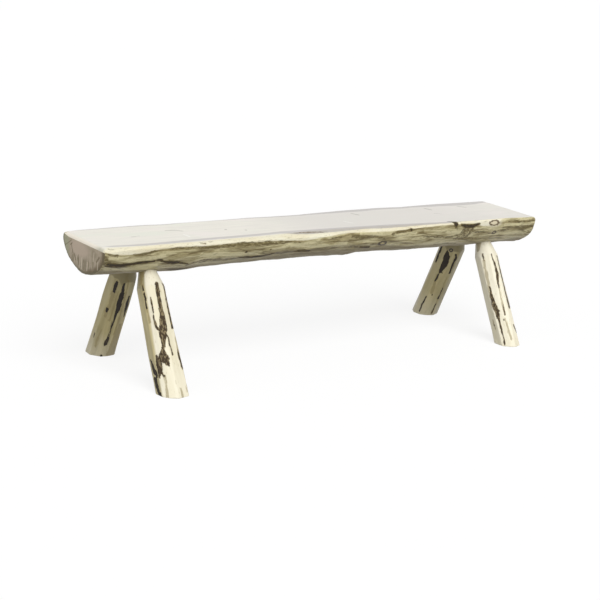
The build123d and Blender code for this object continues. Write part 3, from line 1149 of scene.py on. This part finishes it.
@cache
def knot_group():
    """An oval knot: its dark rim, its core and how near it is."""
    wiring, source = new_group(
        "Knot",
        Vector=(0, 0, 0),
        Centre=(0, 0, 0),
        Stretch=(1, 1, 1),
        Wobble=0.5,
        Thickness=0.55,
    )
    offset = wiring.vector("SUBTRACT", source["Vector"], source["Centre"])
    gap = wiring.vector("LENGTH", wiring.stretch(offset, source["Stretch"]))
    wobble = wiring.math("SUBTRACT", wiring.noise(source["Vector"], 160, 2), 0.5)
    gap = wiring.times(wobble, source["Wobble"], gap)
    from_rim = wiring.math("ABSOLUTE", wiring.math("SUBTRACT", gap, 1.0))
    inner = wiring.times(source["Thickness"], 0.45)
    return close_group(
        wiring,
        Rim=wiring.between(from_rim, source["Thickness"], inner),
        Core=wiring.between(gap, 0.95, 0.7),
        Near=wiring.between(gap, 2.3, 1.5),
    )


@cache
def rings_group():
    """Growth rings and rays of end grain round a pith line along Z."""
    wiring, source = new_group("End Grain", Vector=(0, 0, 0), Pith=(0, 0, 0), Width=0.004)
    offset = wiring.vector("SUBTRACT", source["Vector"], source["Pith"])
    flat = wiring.stretch(offset, (1, 1, 0))
    reach = wiring.times(wiring.noise(flat, 18, 2), 0.012, wiring.vector("LENGTH", flat))
    ring = wiring.math("FRACT", wiring.math("DIVIDE", reach, source["Width"]))
    ray = wiring.noise(wiring.vector("NORMALIZE", flat), 9, 4, 0.7)
    return close_group(wiring, Ring=ring, Ray=ray, Height=wiring.times(ring, 0.4, ray))


@cache
def slash_group():
    """A straight stroke between two points: its mask, with a wandering edge. It draws the end's
    scratches and its painted shade.
    """
    wiring, source = new_group(
        "Slash", Vector=(0, 0, 0), Start=(0, 0, 0), Run=(0, 0, 1), Reach=0.002
    )
    run = source["Run"]
    offset = wiring.vector("SUBTRACT", source["Vector"], source["Start"])
    ahead = wiring.vector("DOT_PRODUCT", offset, run)
    share = wiring.math("DIVIDE", ahead, wiring.vector("DOT_PRODUCT", run, run))
    share = wiring.add("Clamp", {0: share}).outputs[0]
    nearest = wiring.add("VectorMath", {0: run, "Scale": share}, operation="SCALE").outputs[0]
    gap = wiring.vector("LENGTH", wiring.vector("SUBTRACT", offset, nearest))
    reach = wiring.math("SUBTRACT", wiring.math("DIVIDE", gap, source["Reach"]), 0.6)
    reach = wiring.times(wiring.noise(source["Vector"], 320, 3), 1.2, reach)
    return close_group(wiring, Mask=wiring.between(reach, 1.3, 0.5))


def ragged(wiring, name, vector, raggedness):
    """The marks that a mesh keeps under a name, with ragged edges."""
    return wiring.group(
        mark_group(), Field=wiring.kept(name), Vector=vector, Raggedness=raggedness
    )


def new_material(name):
    material = bpy.data.materials.new(name)
    material.use_nodes = True
    material.node_tree.nodes.clear()
    return material, Wiring(material.node_tree)


def surface(wiring, colour, roughness, height, bump, metallic=0.0):
    """Ends a material in a Principled shader with a bumped normal."""
    bumped = wiring.add("Bump", {"Height": height, "Strength": bump, "Distance": MM})
    feeds = {"Base Color": colour, "Roughness": roughness, "Metallic": metallic}
    shader = wiring.add("BsdfPrincipled", {**feeds, "Normal": bumped.outputs[0]})
    wiring.add("OutputMaterial", {"Surface": shader.outputs[0]})


# ==================================================================== knots
class Knot(NamedTuple):
    """How a knot looks: the waver and thickness of its rim, its middle, its rim's colour
    and how much pale wood rings it."""

    wobble: float
    thickness: float
    middle: tuple
    middle_share: float
    rim: tuple
    ringed: float


RINGED_KNOT = Knot(1.2, 0.32, (216, 202, 168), 0.7, (84, 64, 32), 0.35)
LOG_KNOT = Knot(0.5, 0.55, (172, 152, 104), 0.3, (54, 42, 20), 0)
SMALL_KNOT = Knot(0.5, 0.55, (150, 136, 96), 0.8, (34, 26, 12), 0)

# look, (x, y, z) and radii (along, across) in millimetres
SEAT_KNOTS = (
    (RINGED_KNOT, (702, -144, 444), (21, 9)),
    (LOG_KNOT, (714, -134, 405.6), (9, 6)),
    (LOG_KNOT, (188, -129.6, 399), (15, 8)),
)
# the pole's seed, (mm up it, degrees round it), and the pole's and the knot's radii in mm
POLE_KNOTS = (
    (14, (336, -138), (46, 6)),
    (11, (120, 60), (48, 7)),
    (13, (240, 20), (42, 6)),
)


def add_knot(wiring, vector, colour, look, centre, radii):
    """A colour with one knot laid over it."""
    knot = wiring.group(
        knot_group(),
        Vector=vector,
        Centre=centre,
        Stretch=tuple(1 / (radius * MM) for radius in radii),
        Wobble=look.wobble,
        Thickness=look.thickness,
    )
    return wiring.layers(
        colour,
        (knot["Near"], (234, 228, 208), look.ringed),
        (knot["Core"], look.middle, look.middle_share),
        (knot["Rim"], look.rim, 0.95),
    )


# ==================================================================== materials
def lengthwise(wiring):
    """Object coordinates with Z along the seat."""
    split = wiring.split(wiring.add("TexCoord").outputs["Object"])
    return wiring.add("CombineXYZ", {0: split[1], 1: split[2], 2: split[0]}).outputs[0]


def seat_flank_material(settings):
    """Peeled flank: pale wane, olive flame figure, stains, bark and knots."""
    material, wiring = new_material("peeled_flank")
    vector = lengthwise(wiring)
    fibre = wiring.group(fibre_group(), Vector=vector)
    figure = wiring.group(figure_group(), Vector=vector, Bands=6.0)
    streaks = wiring.noise(vector, 85, 5, 0.62, 0.8, along=0.11)
    patches = wiring.noise(vector, 20, 3, along=0.22)
    wander = wiring.math("SUBTRACT", wiring.noise(vector, 130, 4, 0.6, along=0.16), 0.5)
    tone = wiring.times(streaks, 2.1, wiring.times(patches, 0.8))
    tone = wiring.times(fibre["Fine"], 0.5, wiring.math("SUBTRACT", tone, 1.18))
    tone = wiring.times(ragged(wiring, "pale", vector, 1.6)["Halo"], 0.26, tone)
    speck = wiring.between(wiring.noise(vector, 300, 3, along=0.2), 0.58, 0.68)
    under = wiring.between(wiring.times(streaks, 0.03, wiring.kept("girth")), 0.116, 0.138)
    shade = wiring.mix(wiring.between(tone, 0.2, 0.8), (136, 124, 100), settings.under_colour)
    patched = wiring.between(patches, 0.4, 0.62)
    stain = ragged(wiring, "stain", vector, 2.2)
    vein = ragged(wiring, "vein", wiring.stretch(vector, (1, 1, 4)), 2.4)
    blot = wiring.between(wiring.noise(vector, 115, 3, 0.6), 0.4, 0.56)
    bark = ragged(wiring, "bark", vector, 1.6)
    bark_fleck = wiring.times(bark["Fleck"], wiring.times(bark["Core"], -0.3, 0.45))
    dark = wiring.mix(bark["Core"], settings.bark_light, settings.bark_dark)
    colour = wiring.layers(
        settings.flank_dark,
        (wiring.between(tone, 0.22, 0.52), settings.flank_middle),
        (wiring.between(tone, 0.46, 0.8), settings.flank_light),
        (speck, (90, 78, 40), 0.4),
        (under, shade, 0.85),
        (figure["Line"], (108, 94, 54), 0.4),
        # the wane, the blue stain along the flat's front edge, and painted shade along its back
        # edge
        (
            wiring.between(wiring.times(wander, 1.1, wiring.kept("wane")), -0.25, 0.35),
            wiring.mix(patched, (226, 217, 187), settings.wane_colour),
        ),
        (
            wiring.between(wiring.times(wander, 1.2, wiring.kept("blue_stain_and_shade")), -0.3, 0.3),
            settings.blue_stain_and_shade_colour,
            0.8,
        ),
        (stain["Halo"], (132, 118, 72), 0.35),
        (wiring.times(stain["Mask"], wiring.times(stain["Fleck"], -0.6, 0.9)), (88, 76, 38)),
        (vein["Halo"], (128, 112, 66), 0.3),
        (wiring.times(vein["Mask"], wiring.times(blot, 0.75, 0.1)), (88, 72, 36)),
        (bark["Halo"], (118, 103, 60), 0.5),
        (bark["Mask"], wiring.mix(bark_fleck, dark, (138, 122, 76))),
    )
    for look, (x, y, z), (along, across) in SEAT_KNOTS:
        centre = (y * MM, z * MM, x * MM)
        colour = add_knot(wiring, vector, colour, look, centre, (across, across, along))
    height = wiring.times(streaks, 1.2, fibre["Height"])
    roughness = wiring.times(fibre["Fine"], 0.15, 0.36)
    roughness = wiring.times(wiring.math("MAXIMUM", bark["Mask"], under), 0.28, roughness)
    surface(wiring, colour, roughness, height, 0.4)
    return material


def seat_flat_material(settings):
    """Sawn and sanded flat under satin lacquer, with painted shade that darkens it towards the
    right and along its back edge.
    """
    material, wiring = new_material("sawn_flat")
    vector = lengthwise(wiring)
    y, _, x = wiring.split(vector)
    fibre = wiring.group(fibre_group(), Vector=vector)
    figure = wiring.group(figure_group(), Vector=vector, Bands=4.0)
    tone = wiring.times(fibre["Broad"], 0.9, wiring.times(figure["Band"], 0.25))
    # the flat darkens towards the right: painted falloff of light
    tone = wiring.between(wiring.times(x, -0.16, tone), 0.1, 0.9)
    tint = wiring.noise(vector, 9, 2, along=0.4)
    # darker still over the middle and right of the flat: painted falloff of light
    middle = wiring.times(wiring.between(x, -0.3, 0.05), wiring.between(x, 1.1, 0.5))
    arris = wiring.mix(wiring.between(y, -0.06, -0.105), (242, 233, 216), (206, 202, 182))
    wander = wiring.math("SUBTRACT", fibre["Broad"], 0.5)
    # blue stain along the flat's front edge, and painted shade along its back edge
    blue_stain_and_shade = wiring.between(wiring.times(wander, 1.2, wiring.kept("blue_stain_and_shade")), -0.5, 0.6)
    bark = ragged(wiring, "bark", vector, 0.5)
    colour = wiring.layers(
        (220, 216, 205),
        (tone, settings.flat_colour),
        (wiring.between(tint, 0.52, 0.66), (234, 227, 218)),
        (wiring.between(tint, 0.46, 0.34), (227, 227, 212)),
        # painted falloff of light over the middle and right of the flat
        (middle, (215, 210, 202), 0.85),
        (wiring.between(x, -0.903, -0.912), arris),
        (blue_stain_and_shade, settings.blue_stain_and_shade_colour, 0.7),
        (ragged(wiring, "smudge", vector, 0.6)["Halo"], (146, 139, 124), 0.65),
        (wiring.between(wiring.kept("fleck"), 0.3, 0.8), (250, 249, 243), 0.8),
        (bark["Mask"], wiring.mix(bark["Core"], settings.bark_light, settings.bark_dark)),
    )
    roughness = wiring.times(fibre["Fine"], 0.12, 0.26)
    surface(wiring, colour, roughness, fibre["Height"], 0.12)
    return material


# scratches on the left sawn end: from and to (y, z), and half the width, in millimetres
DARK_SCRATCHES = (
    ((126, 415), (82, 441), 1.3),
    ((90, 424), (78, 432), 2.0),
    ((84, 428), (72, 402), 2.4),
    ((62, 400), (52, 384), 3.0),
    ((-1, 394), (0, 376), 1.8),
    ((34, 404), (28, 372), 1.6),
    ((-52, 388), (-50, 366), 1.4),
)
PALE_SCRATCHES = (
    ((9, 398), (12, 362), 3.2),
    ((-28, 392), (-26, 366), 2.2),
    ((-96, 412), (-96, 384), 2.4),
    ((46, 396), (40, 374), 1.6),
    ((-70, 432), (-66, 404), 2.0),
)
# and painted shade under the front corner
CORNER_SHADE = (
    ((-139, 436), (-130, 412), 5.0),
    ((-130, 414), (-118, 396), 6.0),
    ((-104, 424), (-90, 408), 4.0),
)


def seat_end_material(settings):
    """Weathered end grain of the half log, with painted shade under the left end's front corner."""
    material, wiring = new_material("sawn_end")
    vector = lengthwise(wiring)
    y, z, x = wiring.split(vector)
    left_end = wiring.math("LESS_THAN", x, 0.0)
    pith = (0.01, SEAT_HIGH.z - 0.004, 0)
    grain = wiring.group(rings_group(), Vector=vector, Pith=pith, Width=0.0036)
    blotch = wiring.noise(vector, 26, 4, 0.6)
    sawn = wiring.noise(wiring.stretch(vector, (1, 0.14, 1)), 120, 4, 0.6)
    sawn = wiring.math("SUBTRACT", sawn, 0.5)
    streak = wiring.times(sawn, wiring.between(z, 0.425, 0.385))
    tone = wiring.times(grain["Ray"], 0.5, wiring.times(blotch, 0.8, -0.15))
    tone = wiring.times(streak, 2.0, wiring.times(grain["Ring"], 0.1, tone))
    middle = wiring.vector("SUBTRACT", vector, (0.03, 0.424, 0))
    middle = wiring.stretch(middle, (1 / 0.070, 1 / 0.028, 0))
    rosy = wiring.times(blotch, 0.9, wiring.vector("LENGTH", middle))
    edge = wiring.vector("SUBTRACT", vector, (0, 0.447, 0))
    edge = wiring.vector("LENGTH", wiring.stretch(edge, (1 / 0.141, 1 / 0.092, 0)))
    edge = wiring.times(sawn, 0.22, edge)
    rim = wiring.times(wiring.between(edge, 0.78, 0.97), wiring.between(y, 0.03, -0.06))
    colour = wiring.layers(
        (138, 126, 101),
        (wiring.between(tone, 0.15, 0.9), settings.end_colour),
        (wiring.between(rosy, 1.7, 1.0), (196, 179, 159)),
        # only at the left end: a greenish back, brown outer wood and a dark line all round
        (wiring.times(wiring.between(y, 0.088, 0.112), left_end), (172, 170, 142)),
        (wiring.times(rim, left_end), (104, 87, 56), 0.9),
        (wiring.times(wiring.between(edge, 0.93, 0.99), left_end), (98, 92, 66), 0.75),
    )
    face = wiring.stretch(vector, (1, 1, 0))
    dark, pale = (104, 91, 62), (220, 208, 186)
    # scratches, and the painted shade under the front corner, drawn the same way
    for scratches_and_shade, tint in (
        (DARK_SCRATCHES, dark), (PALE_SCRATCHES, pale), (CORNER_SHADE, dark)
    ):
        for (y0, z0), (y1, z1), half_width in scratches_and_shade:
            slash = wiring.group(
                slash_group(),
                Vector=face,
                Start=(y0 * MM, z0 * MM, 0),
                Run=((y1 - y0) * MM, (z1 - z0) * MM, 0),
                Reach=half_width * MM,
            )
            colour = wiring.mix(wiring.times(slash["Mask"], left_end), colour, tint, 0.75)
    roughness = wiring.times(grain["Ray"], 0.2, 0.55)
    surface(wiring, colour, roughness, wiring.math("ADD", grain["Height"], streak), 0.4)
    return material


def pole_material(settings):
    """Drawknifed sapwood with olive stains and bark left in its hollows.

    Olive copies of the wood and darker bark paint shade on the back poles and down the
    front-left pole's left side; the shoulders take a painted highlight on the front poles
    and painted shade on the back ones; painted shadow of the log lies high on the front
    poles' shoulders.
    """
    material, wiring = new_material("peeled_pole")
    vector = wiring.kept("pole", "Vector")
    khaki_and_shade = wiring.kept("khaki_and_shade")
    fibre = wiring.group(fibre_group(), Vector=vector)
    patches = wiring.noise(vector, 17, 3, along=0.16)
    tone = wiring.times(patches, 1.1, wiring.times(fibre["Broad"], 0.6))
    tone = wiring.times(wiring.kept("facet"), 0.16, wiring.math("SUBTRACT", tone, 0.3))
    tone = wiring.between(tone, 0.1, 0.85)
    paleness = wiring.times(tone, 0.5, 0.5)
    stain = ragged(wiring, "stain", vector, 2.2)
    bark = ragged(wiring, "bark", vector, 1.6)
    brown = wiring.mix(bark["Fleck"], settings.bark_dark, settings.bark_light)
    brown = wiring.mix(wiring.math("SUBTRACT", 0.7, bark["Core"]), brown, settings.bark_dark)
    colour = wiring.layers(
        wiring.mix(paleness, settings.sapwood_dark, settings.sapwood_light),
        # olive tint and painted shade of the darker poles, and down the front-left pole's left side
        (khaki_and_shade, wiring.mix(tone, settings.khaki_and_shade_dark, settings.khaki_and_shade_light)),
        # the cone shoulder: a painted highlight on the front poles, painted shade on the back ones
        # and on the front-left one's left side
        (
            wiring.times(wiring.kept("shoulder"), wiring.times(khaki_and_shade, 0.25, 0.55)),
            wiring.mix(khaki_and_shade, (230, 225, 208), (138, 127, 90)),
        ),
        # stains, with painted shadow of the log high on the front poles' shoulders
        (stain["Halo"], (170, 154, 104), 0.35),
        (stain["Mask"], (124, 107, 64), 0.45),
        (bark["Halo"], (158, 140, 92), 0.2),
        # bark on the darker poles darkened as painted shade
        (bark["Mask"], wiring.mix(khaki_and_shade, brown, settings.shaded_bark)),
    )
    for seed, (along, degrees), (pole_radius, size) in POLE_KNOTS:
        angle = radians(degrees)
        radius = pole_radius * MM
        centre = (cos(angle) * radius, sin(angle) * radius, along * MM + seed)
        colour = add_knot(wiring, vector, colour, SMALL_KNOT, centre, (size,) * 3)
    roughness = wiring.times(fibre["Fine"], 0.15, 0.34)
    roughness = wiring.times(bark["Mask"], 0.35, roughness)
    height = wiring.times(bark["Height"], 1.5, fibre["Height"])
    surface(wiring, colour, roughness, height, 0.25)
    return material


def foot_material(settings):
    """End grain under a leg."""
    material, wiring = new_material("sawn_foot")
    grain = wiring.group(rings_group(), Vector=wiring.kept("pole", "Vector"), Width=0.003)
    tone = wiring.between(wiring.times(grain["Ring"], 0.35, grain["Ray"]), 0.2, 1.0)
    colour = wiring.mix(tone, (116, 98, 66), settings.foot_colour)
    roughness = wiring.times(grain["Ray"], 0.2, 0.55)
    surface(wiring, colour, roughness, grain["Height"], 0.4)
    return material


def screw_material(settings):
    """Zinc-plated steel, dull in its scratches."""
    material, wiring = new_material("screw_steel")
    vector = wiring.add("TexCoord").outputs["Object"]
    scratch = wiring.noise(vector, 900, 3, 0.6, along=6)
    tarnish = wiring.between(wiring.noise(vector, 240, 2), 0.35, 0.7)
    colour = wiring.mix(tarnish, settings.steel_colour, (120, 108, 80))
    roughness = wiring.times(scratch, 0.35, 0.2)
    surface(wiring, colour, roughness, scratch, 0.2, metallic=1.0)
    return material


# ==================================================================== the stage
def any_ray(wiring, *kinds):
    """1 for a ray of any of these kinds, 0 for others."""
    rays = wiring.add("LightPath").outputs
    share = rays[kinds[0]]
    for kind in kinds[1:]:
        share = wiring.math("MAXIMUM", share, rays[kind])
    return share


def floor_material():
    """Plain white to the camera, keeping the shadow; a pale floor to every other ray."""
    material, wiring = new_material("floor")
    plain = wiring.add("BsdfDiffuse", {"Color": (0.45, 0.45, 0.45, 1)}).outputs[0]
    seen = wiring.add("BsdfDiffuse", {"Color": (0.9, 0.9, 0.9, 1)}).outputs[0]
    glow = wiring.add("Emission", {"Color": (1, 1, 1, 1), "Strength": 1.04}).outputs[0]
    shown = wiring.add("MixShader", {0: 0.8, 1: seen, 2: glow}).outputs[0]
    straight = any_ray(wiring, "Is Camera Ray", "Is Glossy Ray")
    chosen = wiring.add("MixShader", {0: straight, 1: plain, 2: shown})
    wiring.add("OutputMaterial", {"Surface": chosen.outputs[0]})
    return material


def build_world(sky):
    """White to the camera and in reflections, and an even sky of that strength elsewhere."""
    world = bpy.data.worlds.new("studio")
    world.use_nodes = True
    world.node_tree.nodes.clear()
    wiring = Wiring(world.node_tree)
    straight = any_ray(wiring, "Is Camera Ray", "Is Glossy Ray", "Is Transmission Ray")
    strength = wiring.times(straight, 1 - sky, sky)
    glow = wiring.add("Background", {"Color": (1, 1, 1, 1), "Strength": strength})
    wiring.add("OutputWorld", {"Surface": glow.outputs[0]})
    bpy.context.scene.world = world


def add_lamp(name, towards, softness, strength):
    """A far lamp that shines from one direction, evenly over the whole floor."""
    start_afresh()
    bpy.ops.object.light_add(type="SUN")
    lamp = bpy.context.active_object
    lamp.name = name
    lamp.data.energy = strength
    lamp.data.angle = softness
    lamp.rotation_euler = Vector(towards).to_track_quat("Z", "Y").to_euler()
    lamp.visible_glossy = False


# ==================================================================== operators
FLOOR_SIZE = 60
VIEW_END = 100  # how far the camera sees, past the floor's edge
SENSOR_WIDTH = 36  # mm, as the lens's setting says


class BENCH_OT_stage(Operator):
    """Adds the floor, the lamps, the even sky and the camera"""

    bl_idname = "bench.stage"
    bl_label = "Stage"

    def execute(self, context):
        stage = context.scene.bench_stage
        start_afresh()
        bpy.ops.mesh.primitive_plane_add(size=FLOOR_SIZE, location=(0, 0, 0))
        floor = context.active_object
        floor.name = "studio_floor"
        floor.data.materials.append(floor_material())
        build_world(stage.sky)
        add_lamp("key_lamp", (-0.10, -0.68, 0.72), radians(50), stage.key)
        add_lamp("side_lamp", (-0.90, -0.20, 0.40), radians(60), stage.side)
        bpy.ops.object.camera_add()
        camera = context.active_object
        camera.name = "bench_camera"
        facing = Matrix.Rotation(-stage.turn, 4, "Z")
        facing = facing @ Matrix.Rotation(pi / 2 - stage.tilt, 4, "X")
        facing = facing @ Matrix.Rotation(stage.roll, 4, "Z")
        camera.matrix_world = Matrix.Translation(stage.eye) @ facing
        camera.data.sensor_fit = "HORIZONTAL"
        camera.data.sensor_width = SENSOR_WIDTH
        camera.data.lens = stage.lens
        camera.data.clip_end = VIEW_END
        context.scene.camera = camera
        context.scene.view_settings.view_transform = "Standard"
        return {"FINISHED"}


FLANK, FLAT, END = 0, 1, 2  # the seat's material slots
# how squarely a face has to face outwards or up: end grain, the flat, its rounded left end
END_FACING, FLAT_FACING, ROUNDED_FACING = 0.95, 0.985, 0.25
END_FROM = 0.88  # x either way past which end grain lies
FLAT_DEPTH = 0.4 * MM  # how far below the top the flat's faces lie at most
ROUNDED_LOW, ROUNDED_HIGH = -0.125, 0.130  # y between which the rounded end is the flat's


def seat_surface(settings, face):
    """Which of the seat's materials one of its faces takes."""
    middle, normal = face.center, face.normal
    if abs(normal.x) > END_FACING and abs(middle.x) > END_FROM:
        return END
    if normal.z > FLAT_FACING and middle.z > SEAT_HIGH.z - FLAT_DEPTH:
        return FLAT
    near_end = middle.x < SEAT_LOW.x + settings.top_easing_length
    near_top = middle.z > SEAT_HIGH.z - settings.top_easing_depth
    rounded = near_end and near_top and normal.z > ROUNDED_FACING
    return FLAT if rounded and ROUNDED_LOW < middle.y < ROUNDED_HIGH else FLANK


class BENCH_OT_seat(Operator):
    """Shapes the half-log seat, bores it and finishes its wood"""

    bl_idname = "bench.seat"
    bl_label = "Half-log seat"

    def execute(self, context):
        settings, legs = context.scene.bench_seat, context.scene.bench_legs
        seat = shape_seat(settings)
        cutters = [mortise_cutter(legs, pole) for pole in POLES]
        cutters += [screw_cutter(screw_node(pole)) for pole in POLES]
        cut_away(seat, cutters)
        seat.data.materials.clear()
        for make in (seat_flank_material, seat_flat_material, seat_end_material):
            seat.data.materials.append(make(settings))
        for face in seat.data.polygons:
            face.material_index = seat_surface(settings, face)
        finish_piece(seat, "root", "half_log_seat")
        return {"FINISHED"}


FOOT_FACING, TENON_FACING = -0.9, 0.88  # end grain faces down or up more than this


class BENCH_OT_legs(Operator):
    """Shapes the four pole legs and finishes their wood"""

    bl_idname = "bench.legs"
    bl_label = "Pole legs"

    def execute(self, context):
        settings = context.scene.bench_legs
        side, foot = pole_material(settings), foot_material(settings)
        for pole in POLES:
            leg = shape_leg(settings, pole)
            for material in (side, foot):
                leg.data.materials.append(material)
            for face in leg.data.polygons:
                sawn = not FOOT_FACING <= face.normal.z <= TENON_FACING
                face.material_index = 1 if sawn else 0
            finish_piece(leg, "root", pole.node)
        return {"FINISHED"}


class BENCH_OT_screws(Operator):
    """Finishes the steel of the four tenon screws"""

    bl_idname = "bench.screws"
    bl_label = "Tenon screws"

    def execute(self, context):
        steel = screw_material(context.scene.bench_screws)
        for pole in POLES:
            screw = frame["nodes"][screw_node(pole)]
            screw.data.materials.clear()
            screw.data.materials.append(steel)
        return {"FINISHED"}


class BENCH_PT_builder(Panel):
    """Lists the bench's operators and sizes"""

    bl_idname = "BENCH_PT_builder"
    bl_label = "Half-Log Bench"
    bl_space_type = "VIEW_3D"
    bl_region_type = "UI"
    bl_category = "Bench"

    def draw(self, context):
        for name, operator in SECTIONS:
            box = self.layout.box()
            box.operator(operator)
            settings = getattr(context.scene, name)
            for field in settings.__annotations__:
                box.prop(settings, field)


SECTIONS = (
    ("bench_stage", "bench.stage"),
    ("bench_seat", "bench.seat"),
    ("bench_legs", "bench.legs"),
    ("bench_screws", "bench.screws"),
)
SETTINGS = (StageSettings, SeatSettings, LegSettings, ScrewSettings)
CLASSES = SETTINGS + (
    BENCH_OT_stage,
    BENCH_OT_seat,
    BENCH_OT_legs,
    BENCH_OT_screws,
    BENCH_PT_builder,
)


def register():
    for cls in CLASSES:
        bpy.utils.register_class(cls)
    for (name, _), settings in zip(SECTIONS, SETTINGS):
        setattr(bpy.types.Scene, name, PointerProperty(type=settings))


def unregister():
    for name, _ in SECTIONS:
        delattr(bpy.types.Scene, name)
    for cls in reversed(CLASSES):
        bpy.utils.unregister_class(cls)


def main():
    register()
    bpy.ops.bench.stage()
    bpy.ops.bench.seat()
    bpy.ops.bench.legs()
    bpy.ops.bench.screws()


if __name__ == "__main__":
    main()
